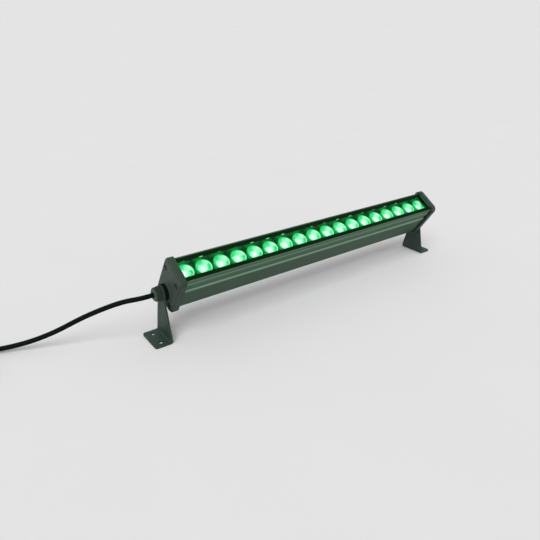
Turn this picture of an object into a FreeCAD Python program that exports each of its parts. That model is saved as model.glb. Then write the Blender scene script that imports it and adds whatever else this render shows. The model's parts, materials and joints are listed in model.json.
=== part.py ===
import FreeCAD, Part
import math
import os

# Outdoor wall washer: a half-metre bar of eighteen lenses in an extruded
# aluminium housing, closed by two cast end caps and carried by two swivelling
# sheet brackets.  Millimetres.  X runs along the bar, +Y to the back, +Z up.
# Origin: midway between the four foot holes, on the surface the feet stand on.
# The lamp is drawn upright, window up, about its pivot axis, and then tilted.

os.makedirs("parts", exist_ok=True)
V = FreeCAD.Vector
X_AXIS = V(1, 0, 0)
Y_AXIS = V(0, 1, 0)
Z_AXIS = V(0, 0, 1)
LEFT = -1
RIGHT = 1

# --- overall ---------------------------------------------------------------
body_length = 500.0        # over the two end caps
pivot_height = 68.0        # pivot axis above the mounting surface
tilt_angle = 32.5          # the window's turn from straight up to the front
front_above_pivot = 43.5   # pivot axis to the housing's front edges
fit_gap = 0.3              # clearance of pieces that slide into each other
screw_gap = 0.1            # radial clearance of a screw's shank in its channel
running_gap = 0.08         # radial clearance of a bracket on its pivot
axial_play = 0.05          # side play of a bracket, on each face

# --- housing extrusion -----------------------------------------------------
profile_width = 40.0
profile_depth = 63.0
wall = 2.0
lip_thickness = 1.9        # bright lip outside the window's black band
lip_depth = 5.1            # front edge down to the ledge under the glass
web_thickness = 3.0        # shelf that carries the light board
web_below_front = 21.0     # front edge down to the top of that shelf
edge_bevel = 0.4           # outer front edges
front_land = 4.0           # front edge down to the upper groove
upper_groove_height = 5.0  # a shallow arc
upper_groove_depth = 1.1
middle_land = 5.5          # between the two grooves
lower_groove_height = 9.5  # round at its top, then a long slope out to the big flat
lower_groove_depth = 1.8
lower_groove_round = 3.5   # height of its round part
bottom_radius = 6.0

# --- end caps, gaskets and their screws ------------------------------------
cap_thickness = 10.5
cap_side_overhang = 3.5    # cap past the housing across the window
cap_front_overhang = 5.0
cap_back_overhang = 5.0
cap_corner_radius = 8.0
cap_edge_chamfer = 2.5
cap_pocket_depth = 3.5
cap_pocket_corner = 3.0
cap_rim = 5.0
cap_lens_relief = 2.2      # shallow recess in the cap for the last lens
boss_radius = 11.0
boss_height = 1.2
boss_chamfer = 0.6
gasket_thickness = 1.5
gasket_proud = 0.6         # black line that shows round the housing
gasket_corner = 3.0
gasket_clear = 0.6         # round the lens bay and the screw channels
rib_thickness = 2.0
rib_reach = 4.0            # locating ribs past the cap's inner face
rib_length = 26.0
rib_root = 0.5             # how far a rib runs into the cap
rib_start = 1.0            # above the lower screw channels
cap_screw_y = 15.5
cap_screw_front = 10.0     # upper screw channels below the front edge
cap_screw_back = 5.5       # lower screw channels above the back face
cap_screw_radius = 1.5
channel_wall = 1.4
channel_slit = 1.4
cap_screw_head_radius = 3.7
cap_screw_head_height = 2.4
cap_screw_sink = 3.2       # depth of the counterbore
cap_screw_length = 18.0    # under the head
cap_screw_flat = 0.65      # flat top of the head, share of its radius
cap_screw_side = 0.55      # straight side of the head, share of its height
drive_cross = 3.8          # cross recess: span, width and depth
drive_width = 0.9
drive_depth = 1.3
counterbore_radius = 4.2

# --- window ----------------------------------------------------------------
glass_thickness = 3.0
seal_thickness = 0.9
seal_band = 6.4            # black band that shows along each long edge
seal_gap = 0.1
seal_bevel = 0.3           # outer top edge
seal_lip_width = 0.8       # sloping lip over the glass
seal_lip_height = 0.6

# --- light board -----------------------------------------------------------
lens_pitch = 27.0
lens_radius = 11.7
lens_flange = 1.2
lens_neck_radius = 9.4
lens_foot_radius = 4.6
lens_under_glass = 3.3
lens_above_board = 2.3
lens_pocket_gap = 1.4      # round the chip dome at the lens's foot
lens_pocket_share = 0.35   # height of the pocket in the lens
chip_size = 3.5
chip_height = 0.8
chip_dome_radius = 1.3
chip_dome_top = 0.65
chip_dome_height = 1.04
holder_radius = 10.3
holder_gap = 0.35
board_width = 31.0
board_thickness = 1.6
board_end_gap = 1.0
board_screw_count = 5
board_screw_radius = 1.5
board_screw_head_radius = 2.8
board_screw_head_height = 1.6
board_screw_flat = 0.6     # flat top of the head, share of its radius
board_screw_side = 0.4     # straight side of the head, share of its height
board_screw_y = 13.0

# --- driver ----------------------------------------------------------------
driver_length = 172.0
driver_width = 31.4
driver_inset = 44.0        # housing's left end to the driver board
driver_thickness = 1.6
part_gap = 3.0             # driver board's left end to the terminal block
terminal_depth = 7.7       # depth of the terminal block's wire holes
terminal_screw_depth = 3.0
capacitor_start = 26.0     # driver board's left end to the first capacitor
transformer_start = 72.0
transformer_rounding = 3.0
switch_from_end = 58.0     # driver board's right end back to the first transistor
transformer_size = (24.0, 20.0, 17.0)
transformer_core = (14.0, 23.0, 9.0)
capacitor_radius = 6.0
capacitor_height = 18.0
capacitor_spacing = 15.0
capacitor_count = 3
terminal_size = (11.0, 18.0, 10.0)
terminal_hole_radius = 1.6
switch_size = (10.0, 4.5, 15.0)
switch_pitch = 16.0
switch_count = 3
core_radius = 0.9
lens_count_to_wires = 3    # lenses from the left end to the wires up to the light board
board_wire_y = 9.5
board_wire_jog = 6.0       # how far a wire leans along the bar on its way up
board_wire_hole = 1.6

# --- brackets --------------------------------------------------------------
sheet = 2.5
left_arm_clear = 6.0       # cap face to the left arm's inner face
right_arm_clear = 2.5
arm_head_radius = 10.5
arm_waist = 20.0
arm_waist_drop = 11.0      # pivot down to where the arm starts to widen
foot_width = 44.0
foot_length = 25.0         # from the arm's inner face to the foot's edge
bend_radius = 2.0          # inside the bend
foot_corner_radius = 4.0
foot_hole_radius = 3.0
foot_hole_spacing = 25.0
foot_hole_from_edge = 11.5
flare_radius = 14.0

# --- pivots ----------------------------------------------------------------
pivot_radius = 6.0         # M12 stem of the gland and of the right bolt
washer_radius = 11.5
gland_hex_flats = 20.0
gland_hex_length = 3.5
gland_nut_flats = 19.0
gland_nut_length = 6.45
gland_nut_hex = 3.6        # straight hexagon before the rounded end
gland_nut_end_radius = 7.6
gland_nut_lip = 0.8        # bevel round the mouth
hex_bevel_height = 1.2     # rounded corners of the gland's hexagon
hex_bevel_inset = 1.6
gland_stem_inside = 6.0    # stem past the cap's inner face
locknut_flats = 17.0
locknut_height = 4.0
gland_bore_radius = 4.2
seal_length = 6.0
bolt_hex_flats = 18.0
bolt_head_height = 6.0
bolt_bevel_height = 0.9
bolt_bevel_inset = 1.5
bolt_washer_radius = 11.0
bolt_washer_thickness = 1.6
spring_washer_radius = 9.6
spring_washer_thickness = 2.2
spring_washer_slit = 1.6
bolt_reach = 6.8           # thread past the cap's outer face
blind_boss_wall = 2.5
bolt_end_gap = 0.5

# --- cord ------------------------------------------------------------------
cord_diameter = 6.5
inner_lead_end = 26.0      # jacket past the cap's inner face
core_spacing = 2.0         # cores side by side where they leave the jacket
core_bend_start = 0.3      # shares of a wire's way where its bends lie
core_bend_end = 0.62
# Free stretch, from the gland's mouth to the start of the coil.
cord_route = [
    (-266.75, 0.0, 68.0),
    (-283.0, 0.0, 68.0),
    (-305.0, 7.0, 67.5),
    (-330.0, 22.0, 57.0),
    (-354.0, 38.0, 43.5),
    (-378.0, 52.0, 28.5),
    (-401.0, 65.0, 17.5),
    (-425.0, 77.5, 10.0),
    (-451.0, 90.0, 6.0),
    (-477.0, 100.0, 4.6),
    (-498.0, 100.0, 4.6),
]
coil_turns = 3.25
coil_mean_radius = 34.0
coil_turn_pitch = 7.2      # turn to turn, in the layer and between layers
coil_layer_pitch = 7.1
tie_width = 9.0
tie_thickness = 1.0
tie_gap = 0.3
tie_outer_round = 2.5
tie_inner_round = 1.6
# Short end past the coil, down to the connector on the floor, from the coil's end.
tail_steps = [
    (0.0, 0.0, 0.0),
    (0.0, -11.0, 0.0),
    (-1.0, -24.0, -1.8),
    (-1.0, -35.0, -1.8),
]
connector_radius = 8.4
connector_grip = 22.0
connector_ring_length = 15.0
connector_neck_radius = 5.0
connector_neck_length = 9.0
connector_face_radius = 6.6
connector_face_depth = 3.0     # pin face inside the ring's rim
connector_bore_gap = 0.05
connector_bevel = 0.8
connector_flare = 1.0          # how much the neck widens toward the grip
connector_step = 1.0           # narrow bands at both ends of the grip
connector_wall_step = 0.4
ring_play = 0.1                # ring to grip, along the axis
ring_shoulder = 2.0            # wall at the ring's inner end
ring_shoulder_reach = 0.5
ring_groove_count = 18
ring_groove_radius = 0.8
ring_groove_offset = 0.35      # groove axis outside the ring
ring_groove_margin = 2.5
pin_radius = 0.9
pin_length = 5.0
pin_circle = 3.2
pin_count = 3

# --- places that follow from the sizes -------------------------------------
profile_length = body_length - 2 * (cap_thickness + gasket_thickness)
profile_end = profile_length / 2
cap_inner_x = profile_end + gasket_thickness
cap_face_x = body_length / 2
half_width = profile_width / 2
front_z = front_above_pivot
back_z = front_z - profile_depth
ledge_z = front_z - lip_depth
web_top = front_z - web_below_front
web_bottom = web_top - web_thickness
lip_inner = half_width - lip_thickness
cavity_y = half_width - lower_groove_depth - wall
glass_bottom = ledge_z + seal_gap + seal_thickness + seal_gap
glass_top = glass_bottom + glass_thickness
board_top = web_top + board_thickness
lens_top = glass_bottom - lens_under_glass
lens_bottom = board_top + lens_above_board
upper_screw_z = front_z - cap_screw_front
lower_screw_z = back_z + cap_screw_back
screw_places = [(side * cap_screw_y, z) for side in (-1, 1) for z in (lower_screw_z, upper_screw_z)]
channel_radius = cap_screw_radius + screw_gap
channel_boss_radius = channel_radius + channel_wall
driver_bottom = lower_screw_z + channel_boss_radius + screw_gap
driver_top = driver_bottom + driver_thickness
lens_span = 2 * (cap_inner_x + cap_lens_relief - fit_gap - lens_radius)
lens_count = int(lens_span / lens_pitch) + 1
lens_xs = [(i - (lens_count - 1) / 2) * lens_pitch for i in range(lens_count)]
boss_face_x = cap_face_x + boss_height
left_arm_x = cap_face_x + left_arm_clear
right_arm_x = cap_face_x + right_arm_clear
gland_seat_x = left_arm_x + sheet + axial_play
gland_hex_x = gland_seat_x + gland_hex_length
gland_mouth_x = gland_hex_x + gland_nut_length
driver_start = -profile_end + driver_inset
lamp_shift = (left_arm_clear - right_arm_clear) / 2
board_wire_x = lens_xs[lens_count_to_wires - 1] + lens_pitch / 2
cord_radius = cord_diameter / 2


# --- helpers ---------------------------------------------------------------
def cylinder(radius, x0, x1, y=0.0, z=0.0):
    """Round bar along X between two stations."""
    start = V(min(x0, x1), y, z)
    return Part.makeCylinder(radius, abs(x1 - x0), start, X_AXIS)


def hexagon(flats, x0, x1):
    """Hexagonal bar along X, with a flat at the top."""
    corner = flats / math.sqrt(3)
    points = []
    for k in range(7):
        angle = math.radians(60 * k)
        points.append(V(min(x0, x1), corner * math.cos(angle), corner * math.sin(angle)))
    return Part.Face(Part.makePolygon(points)).extrude(V(abs(x1 - x0), 0, 0))


def box(x0, x1, y0, y1, z0, z1):
    """Block between two corners, given in any order along X."""
    return Part.makeBox(abs(x1 - x0), y1 - y0, z1 - z0, V(min(x0, x1), y0, z0))


def rounded_plate(x0, x1, y0, y1, z0, z1, radius):
    """Plate across X whose four long edges are round."""
    plate = box(x0, x1, y0, y1, z0, z1)
    long_edges = []
    for edge in plate.Edges:
        direction = edge.tangentAt(edge.FirstParameter)
        if abs(direction.x) > 0.99:
            long_edges.append(edge)
    return plate.makeFillet(radius, long_edges)


def outline_edges(start, steps, x):
    """Edges of an outline across X: a step (y, z) is a line, (y, z, y, z) an arc."""
    here = V(x, start[0], start[1])
    edges = []
    for step in steps:
        there = V(x, step[-2], step[-1])
        if len(step) == 2:
            edges.append(Part.makeLine(here, there))
        else:
            edges.append(Part.Arc(here, V(x, step[0], step[1]), there).toShape())
        here = there
    return edges


def mirrored_face(start, steps, x):
    """Face whose right half is given from its lowest to its highest middle point."""
    right = outline_edges(start, steps, x)
    left = [edge.mirror(V(0, 0, 0), Y_AXIS) for edge in right]
    return Part.Face(Part.Wire(Part.__sortEdges__(right + left)))


def revolved(points, centre, axis):
    """Solid turned from (radius, station) points about an axis through centre."""
    across = Z_AXIS if abs(axis.z) < 0.5 else X_AXIS
    corners = [centre + across * r + axis * s for r, s in points]
    face = Part.Face(Part.makePolygon(corners + corners[:1]))
    return face.revolve(centre, axis, 360)


def both_ends(shape):
    """The shape at the left end and its mirror image at the right end."""
    return shape, shape.mirror(V(0, 0, 0), X_AXIS)


def tilted(shape):
    """The upright lamp piece turned to its tilt and raised to the pivot's height."""
    turned = shape.copy()
    turned.rotate(V(0, 0, 0), X_AXIS, tilt_angle)
    turned.translate(V(lamp_shift, 0, pivot_height))
    return turned


def raised(shape):
    """A piece about the pivot axis that doesn't tilt, raised to the pivot's height."""
    moved = shape.copy()
    moved.translate(V(lamp_shift, 0, pivot_height))
    return moved


def save(name, solids):
    """Write one node."""
    shape = solids if not isinstance(solids, list) else Part.makeCompound(solids)
    shape.exportStep(os.path.join("parts", name + ".step"))


# --- housing extrusion -----------------------------------------------------
def side_steps():
    """Outer side of the extrusion from the back corner up to the front edge."""
    halfway = 1 - math.sqrt(0.5)
    upper_top = front_z - front_land
    upper_foot = upper_top - upper_groove_height
    lower_top = upper_foot - middle_land
    lower_foot = lower_top - lower_groove_height
    floor_y = half_width - lower_groove_depth
    round_y = floor_y + lower_groove_depth * halfway
    round_z = lower_top - lower_groove_round * halfway
    corner = bottom_radius * halfway
    return [
        (half_width - bottom_radius, back_z),
        (half_width - corner, back_z + corner, half_width, back_z + bottom_radius),
        (half_width, lower_foot),
        (floor_y, lower_top - lower_groove_round),
        (round_y, round_z, half_width, lower_top),
        (half_width, upper_foot),
        (half_width - upper_groove_depth, upper_top - upper_groove_height / 2, half_width, upper_top),
        (half_width, front_z - edge_bevel),
        (half_width - edge_bevel, front_z),
    ]


def housing_profile():
    """Extrusion: window channel, lens bay, shelf, driver bay and four screw channels."""
    steps = side_steps()
    steps.append((lip_inner, front_z))
    steps.append((lip_inner, ledge_z))
    steps.append((cavity_y, ledge_z))
    steps.append((cavity_y, web_top))
    steps.append((0.0, web_top))
    start_x = -profile_end
    bar = mirrored_face((0.0, back_z), steps, start_x).extrude(V(profile_length, 0, 0))
    floor_z = back_z + wall
    bar = bar.cut(box(-profile_end, profile_end, -cavity_y, cavity_y, floor_z, web_bottom))
    for y, z in screw_places:
        bar = bar.fuse(cylinder(channel_boss_radius, -profile_end, profile_end, y, z))
    bar = bar.removeSplitter()
    for y, z in screw_places:
        bar = bar.cut(cylinder(channel_radius, -profile_end, profile_end, y, z))
        inner = y - math.copysign(channel_boss_radius + 1, y)
        low, high = min(inner, y), max(inner, y)
        slit = box(-profile_end, profile_end, low, high, z - channel_slit / 2, z + channel_slit / 2)
        bar = bar.cut(slit)
    for side in (-1, 1):
        start = V(board_wire_x, side * board_wire_y, web_bottom)
        bar = bar.cut(Part.makeCylinder(board_wire_hole, web_thickness, start))
    return bar


# --- window ----------------------------------------------------------------
def front_glass():
    half = lip_inner - seal_thickness - 2 * seal_gap
    return box(-profile_end, profile_end, -half, half, glass_bottom, glass_top)


def glass_seal(side):
    """Black rubber channel along one long edge of the glass."""
    outer = lip_inner - seal_gap
    groove = outer - seal_thickness
    band = lip_inner - seal_band
    foot = cavity_y
    top = glass_top + seal_gap + seal_thickness
    floor = ledge_z + seal_gap
    points = [
        (foot, floor),
        (outer, floor),
        (outer, top - seal_bevel),
        (outer - seal_bevel, top),
        (band + seal_lip_width, top),
        (band, top - seal_lip_height),
        (band, glass_top + seal_gap),
        (groove, glass_top + seal_gap),
        (groove, glass_bottom - seal_gap),
        (foot, glass_bottom - seal_gap),
    ]
    corners = [V(-profile_end, side * y, z) for y, z in points]
    face = Part.Face(Part.makePolygon(corners + corners[:1]))
    return face.extrude(V(profile_length, 0, 0))


# --- light board -----------------------------------------------------------
def board_screw_places():
    """Between lenses, along both edges in turn."""
    span = lens_count - 1
    places = []
    for k in range(board_screw_count):
        index = round((k + 0.5) * span / board_screw_count - 0.5)
        x = lens_xs[index] + lens_pitch / 2
        side = 1 if k % 2 else -1
        places.append((x, side * board_screw_y))
    return places


def led_board():
    half = profile_end - board_end_gap
    board = box(-half, half, -board_width / 2, board_width / 2, web_top, board_top)
    for x, y in board_screw_places():
        hole = Part.makeCylinder(board_screw_radius + screw_gap, board_thickness, V(x, y, web_top))
        board = board.cut(hole)
    for side in (-1, 1):
        start = V(board_wire_x, side * board_wire_y, web_top)
        board = board.cut(Part.makeCylinder(board_wire_hole, board_thickness, start))
    return board


def board_screws():
    screws = []
    for x, y in board_screw_places():
        head = revolved(
            [
                (0.0, board_screw_head_height),
                (board_screw_head_radius * board_screw_flat, board_screw_head_height),
                (board_screw_head_radius, board_screw_head_height * board_screw_side),
                (board_screw_head_radius, 0.0),
                (board_screw_radius, 0.0),
                (board_screw_radius, -board_thickness),
                (0.0, -board_thickness),
            ],
            V(x, y, board_top),
            Z_AXIS,
        )
        screws.append(head)
    return screws


def led_chips():
    chips = []
    half = chip_size / 2
    for x in lens_xs:
        package = box(x - half, x + half, -half, half, board_top, board_top + chip_height)
        base = V(x, 0, board_top + chip_height)
        dome = Part.makeCone(chip_dome_radius, chip_dome_top, chip_dome_height, base)
        chips.append(package.fuse(dome).removeSplitter())
    return chips


def lens_holders():
    """Black cup round each lens, open where the lens drops in."""
    rim = lens_top - lens_flange - screw_gap - board_top
    lower = lens_bottom - board_top
    points = [
        (lens_foot_radius + holder_gap, 0.0),
        (holder_radius, 0.0),
        (holder_radius, rim),
        (lens_neck_radius + holder_gap, rim),
        (lens_foot_radius + holder_gap, lower),
    ]
    return [revolved(points, V(x, 0, board_top), Z_AXIS) for x in lens_xs]


def lenses():
    """Clear conical lens with a thin flange, hollow under the light source."""
    height = lens_top - lens_bottom
    pocket_radius = chip_dome_radius + lens_pocket_gap
    points = [
        (0.0, height),
        (lens_radius, height),
        (lens_radius, height - lens_flange),
        (lens_neck_radius, height - lens_flange),
        (lens_foot_radius, 0.0),
        (pocket_radius, 0.0),
        (0.0, height * lens_pocket_share),
    ]
    return [revolved(points, V(x, 0, lens_bottom), Z_AXIS) for x in lens_xs]


# --- driver ----------------------------------------------------------------
def driver_board():
    end = driver_start + driver_length
    half = driver_width / 2
    return box(driver_start, end, -half, half, driver_bottom, driver_top)


def terminal_block():
    length, width, height = terminal_size
    x0 = driver_start + part_gap
    top = driver_top + height
    block = box(x0, x0 + length, -width / 2, width / 2, driver_top, top)
    for k in (-1, 0, 1):
        y = k * width / 3
        hole_z = driver_top + height / 2
        block = block.cut(cylinder(terminal_hole_radius, x0, x0 + terminal_depth, y, hole_z))
        start = V(x0 + length / 2, y, top - terminal_screw_depth)
        block = block.cut(Part.makeCylinder(terminal_hole_radius, terminal_screw_depth, start))
    return block


def driver_transformer():
    """Wound bobbin with its ferrite core through it."""
    x0 = driver_start + transformer_start
    length, width, height = transformer_size
    top = driver_top + height
    bobbin = rounded_plate(x0, x0 + length, -width / 2, width / 2, driver_top, top, transformer_rounding)
    core_length, core_width, core_height = transformer_core
    inset = (length - core_length) / 2
    low = driver_top + (height - core_height) / 2
    core_y = core_width / 2
    core = box(x0 + inset, x0 + inset + core_length, -core_y, core_y, low, low + core_height)
    return bobbin.fuse(core)


def driver_capacitors():
    cans = []
    x0 = driver_start + capacitor_start
    for k in range(capacitor_count):
        base = V(x0 + k * capacitor_spacing, 0, driver_top)
        cans.append(Part.makeCylinder(capacitor_radius, capacitor_height, base))
    return cans


def driver_switches():
    """Flat power transistors standing along the board."""
    length, width, height = switch_size
    x0 = driver_start + driver_length - switch_from_end
    blocks = []
    for k in range(switch_count):
        x = x0 + k * switch_pitch
        blocks.append(box(x, x + length, -width / 2, width / 2, driver_top, driver_top + height))
    return blocks


# --- end caps, gaskets, screws ---------------------------------------------
def end_cap():
    """Left end cap: bevelled cast plate, pivot boss, counterbores and locating ribs."""
    y1 = half_width + cap_side_overhang
    z0 = back_z - cap_back_overhang
    z1 = front_z + cap_front_overhang
    plate = rounded_plate(-cap_face_x, -cap_inner_x, -y1, y1, z0, z1, cap_corner_radius)
    rim_edges = []
    for edge in plate.Edges:
        bounds = edge.BoundBox
        if bounds.XMax < -cap_face_x + 0.01:
            rim_edges.append(edge)
    plate = plate.makeChamfer(cap_edge_chamfer, rim_edges)
    boss = revolved(
        [
            (0.0, 0.0),
            (boss_radius + boss_chamfer, 0.0),
            (boss_radius, boss_chamfer),
            (boss_radius, boss_height),
            (0.0, boss_height),
        ],
        V(-cap_face_x, 0, 0),
        V(-1, 0, 0),
    )
    plate = plate.fuse(boss).removeSplitter()
    pocket_y = cavity_y - rib_thickness - fit_gap
    inner = -cap_inner_x
    pocket = rounded_plate(
        inner - cap_pocket_depth, inner,
        -pocket_y, pocket_y,
        lower_screw_z + channel_boss_radius + fit_gap, web_bottom - cap_rim,
        cap_pocket_corner,
    )
    plate = plate.cut(pocket)
    bay = lens_radius + gasket_clear
    plate = plate.cut(box(inner - cap_lens_relief, inner, -bay, bay, web_top, lens_top + fit_gap))
    rib_z0 = lower_screw_z + channel_boss_radius + rib_start
    rib_z1 = min(rib_z0 + rib_length, web_bottom - fit_gap)
    rib_y = cavity_y - fit_gap
    for side in (-1, 1):
        y_low, y_high = sorted((side * rib_y, side * (rib_y - rib_thickness)))
        rib = box(inner - rib_root, inner + rib_reach, y_low, y_high, rib_z0, rib_z1)
        plate = plate.fuse(rib)
    for y, z in screw_places:
        plate = plate.cut(cylinder(counterbore_radius, -cap_face_x, -cap_face_x + cap_screw_sink, y, z))
        plate = plate.cut(cylinder(cap_screw_radius + 2 * screw_gap, -cap_face_x, inner, y, z))
    return plate.removeSplitter()


def gasket():
    """Left gasket: rubber sheet round the housing's end, open at both bays."""
    x0 = -cap_inner_x
    x1 = -profile_end
    y1 = half_width + gasket_proud
    z0 = back_z - gasket_proud
    z1 = front_z + gasket_proud
    sheet_face = rounded_plate(x0, x1, -y1, y1, z0, z1, gasket_corner)
    lens_bay = lens_radius + gasket_clear
    sheet_face = sheet_face.cut(box(x0, x1, -lens_bay, lens_bay, web_top, lens_top + fit_gap))
    side_open = lower_screw_z + channel_boss_radius + gasket_clear
    sheet_face = sheet_face.cut(box(x0, x1, -cavity_y, cavity_y, side_open, web_bottom))
    middle = cap_screw_y - channel_boss_radius - gasket_clear
    sheet_face = sheet_face.cut(box(x0, x1, -middle, middle, back_z + wall, side_open))
    for y, z in screw_places:
        sheet_face = sheet_face.cut(cylinder(cap_screw_radius + 2 * screw_gap, x0, x1, y, z))
    return sheet_face


def cap_screws():
    """Four self-tapping screws of the left cap, heads sunk in their counterbores."""
    seat = -cap_face_x + cap_screw_sink
    screws = []
    for y, z in screw_places:
        points = [
            (0.0, -cap_screw_head_height),
            (cap_screw_head_radius * cap_screw_flat, -cap_screw_head_height),
            (cap_screw_head_radius, -cap_screw_head_height * cap_screw_side),
            (cap_screw_head_radius, 0.0),
            (cap_screw_radius, 0.0),
            (cap_screw_radius, cap_screw_length - cap_screw_radius),
            (0.0, cap_screw_length),
        ]
        screw = revolved(points, V(seat, y, z), X_AXIS)
        slot_x = seat - cap_screw_head_height
        for dy, dz in ((drive_cross / 2, drive_width / 2), (drive_width / 2, drive_cross / 2)):
            screw = screw.cut(box(slot_x, slot_x + drive_depth, y - dy, y + dy, z - dz, z + dz))
        screws.append(screw)
    return screws


# --- brackets --------------------------------------------------------------
def arm_outline(x):
    """Arm across X: round head and a long taper that widens down to the foot."""
    waist = arm_waist / 2
    half_foot = foot_width / 2
    flare_top = -arm_waist_drop
    foot_line = -pivot_height + sheet + bend_radius
    head_drop = math.sqrt(max(arm_head_radius ** 2 - waist ** 2, 0.0))
    steps = [
        (half_foot, foot_line),
        (waist, flare_top),
        (waist, -head_drop),
        (arm_head_radius, 0.0, 0.0, arm_head_radius),
    ]
    edges = outline_edges((0.0, foot_line), steps, x)
    left = [edge.mirror(V(0, 0, 0), Y_AXIS) for edge in edges]
    return Part.Face(Part.Wire(Part.__sortEdges__(edges + left)))


def bracket(inner_x):
    """Bracket with its foot to the right, from one sheet: arm, bend and foot with two holes."""
    outer_x = inner_x + sheet
    foot_end_x = inner_x + foot_length
    arm = arm_outline(inner_x).extrude(V(sheet, 0, 0))
    flare_edges = []
    for edge in arm.Edges:
        bounds = edge.BoundBox
        at_flare = abs(bounds.ZMin + arm_waist_drop) < 0.01 and bounds.ZLength < 0.01
        if at_flare and bounds.XLength > sheet / 2:
            flare_edges.append(edge)
    arm = arm.makeFillet(flare_radius, flare_edges)
    half_foot = foot_width / 2
    outer_bend = bend_radius + sheet
    floor = -pivot_height
    bend_x = inner_x + outer_bend
    bend_z = floor + outer_bend
    diagonal = math.sqrt(0.5)
    corner = [
        V(inner_x, -half_foot, bend_z),
        V(bend_x - outer_bend * diagonal, -half_foot, bend_z - outer_bend * diagonal),
        V(bend_x, -half_foot, floor),
        V(bend_x, -half_foot, floor + sheet),
        V(bend_x - bend_radius * diagonal, -half_foot, bend_z - bend_radius * diagonal),
        V(outer_x, -half_foot, bend_z),
    ]
    bend_edges = [
        Part.Arc(corner[0], corner[1], corner[2]).toShape(),
        Part.makeLine(corner[2], corner[3]),
        Part.Arc(corner[3], corner[4], corner[5]).toShape(),
        Part.makeLine(corner[5], corner[0]),
    ]
    bend = Part.Face(Part.Wire(bend_edges)).extrude(V(0, foot_width, 0))
    foot = box(bend_x, foot_end_x, -half_foot, half_foot, floor, floor + sheet)
    corner_edges = []
    for edge in foot.Edges:
        bounds = edge.BoundBox
        if bounds.ZLength > sheet / 2 and bounds.XMin > foot_end_x - 0.01:
            corner_edges.append(edge)
    foot = foot.makeFillet(foot_corner_radius, corner_edges)
    plate = arm.fuse([bend, foot]).removeSplitter()
    plate = plate.cut(cylinder(pivot_radius + running_gap, inner_x, outer_x))
    for side in (-1, 1):
        spot = V(foot_end_x - foot_hole_from_edge, side * foot_hole_spacing / 2, floor)
        plate = plate.cut(Part.makeCylinder(foot_hole_radius, sheet, spot))
    return plate


# --- pivots ----------------------------------------------------------------
def friction_washer(arm_x):
    """Nylon washer between the right cap's boss and its arm."""
    x0 = boss_face_x
    x1 = arm_x - axial_play
    return cylinder(washer_radius, x0, x1).cut(cylinder(pivot_radius + screw_gap, x0, x1))


def gland_body():
    """Threaded stem through arm and cap, with its hexagon outside the arm."""
    x_arm = -gland_seat_x
    x_hex = -gland_hex_x
    x_end = -cap_inner_x + gland_stem_inside
    body = hexagon(gland_hex_flats, x_hex, x_arm)
    corner = gland_hex_flats / math.sqrt(3)
    rounding = revolved(
        [
            (0.0, 0.0),
            (corner, 0.0),
            (corner, gland_hex_length - hex_bevel_height),
            (corner - hex_bevel_inset, gland_hex_length),
            (0.0, gland_hex_length),
        ],
        V(x_arm, 0, 0),
        V(-1, 0, 0),
    )
    body = body.common(rounding)
    body = body.fuse(cylinder(pivot_radius, x_arm, x_end))
    return body.cut(cylinder(cord_radius + screw_gap, x_hex, x_end))


def gland_nut():
    """Clamping nut: hexagon that runs into a rounded mouth."""
    x0 = -gland_hex_x
    mouth = gland_nut_length
    corner = gland_nut_flats / math.sqrt(3)
    bar = hexagon(gland_nut_flats, x0, x0 - mouth)
    dome = revolved(
        [
            (0.0, 0.0),
            (corner, 0.0),
            (corner, gland_nut_hex),
            (gland_nut_end_radius + gland_nut_lip, mouth - gland_nut_lip),
            (gland_nut_end_radius, mouth),
            (0.0, mouth),
        ],
        V(x0, 0, 0),
        V(-1, 0, 0),
    )
    return bar.common(dome).cut(cylinder(gland_bore_radius, x0, x0 - mouth))


def gland_seal():
    """Rubber sleeve that grips the cord inside the nut."""
    x_out = -gland_mouth_x
    x_in = x_out + seal_length
    outer = cylinder(gland_bore_radius - screw_gap / 2, x_out, x_in)
    return outer.cut(cylinder(cord_radius + screw_gap / 2, x_out, x_in))


def gland_locknut():
    x0 = -cap_inner_x - cap_pocket_depth
    x1 = x0 + locknut_height
    return hexagon(locknut_flats, x0, x1).cut(cylinder(pivot_radius + screw_gap, x0, x1))


def right_pivot():
    """Bolt, plain washer and spring washer that hold the right bracket."""
    x = right_arm_x + sheet + axial_play
    bore = cylinder(pivot_radius + screw_gap, x, x + bolt_washer_thickness + spring_washer_thickness)
    plain = cylinder(bolt_washer_radius, x, x + bolt_washer_thickness).cut(bore)
    x_spring = x + bolt_washer_thickness
    x_head = x_spring + spring_washer_thickness
    spring = cylinder(spring_washer_radius, x_spring, x_head).cut(bore)
    half_slit = spring_washer_slit / 2
    slit = box(x_spring, x_head, -half_slit, half_slit, 0, 2 * spring_washer_radius)
    spring = spring.cut(slit)
    corner = bolt_hex_flats / math.sqrt(3)
    head = hexagon(bolt_hex_flats, x_head, x_head + bolt_head_height)
    rounding = revolved(
        [
            (0.0, 0.0),
            (corner, 0.0),
            (corner, bolt_head_height - bolt_bevel_height),
            (corner - bolt_bevel_inset, bolt_head_height),
            (0.0, bolt_head_height),
        ],
        V(x_head, 0, 0),
        X_AXIS,
    )
    bolt = head.common(rounding).fuse(cylinder(pivot_radius, cap_face_x - bolt_reach, x_head))
    return bolt, plain, spring


def cap_with_pivot(cap, side):
    """Cap drilled for the gland on the left, with a blind threaded boss on the right."""
    if side == LEFT:
        recess = locknut_flats / math.sqrt(3) + fit_gap
        cap = cap.cut(cylinder(recess, -cap_inner_x - cap_pocket_depth, -cap_inner_x))
        return cap.cut(cylinder(pivot_radius + screw_gap, -boss_face_x, -cap_inner_x))
    blind_end = cap_face_x - bolt_reach - bolt_end_gap
    boss = cylinder(pivot_radius + blind_boss_wall, cap_inner_x, cap_face_x - cap_edge_chamfer)
    body = cap.fuse(boss)
    return body.cut(cylinder(pivot_radius + screw_gap, blind_end, boss_face_x)).removeSplitter()


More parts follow.
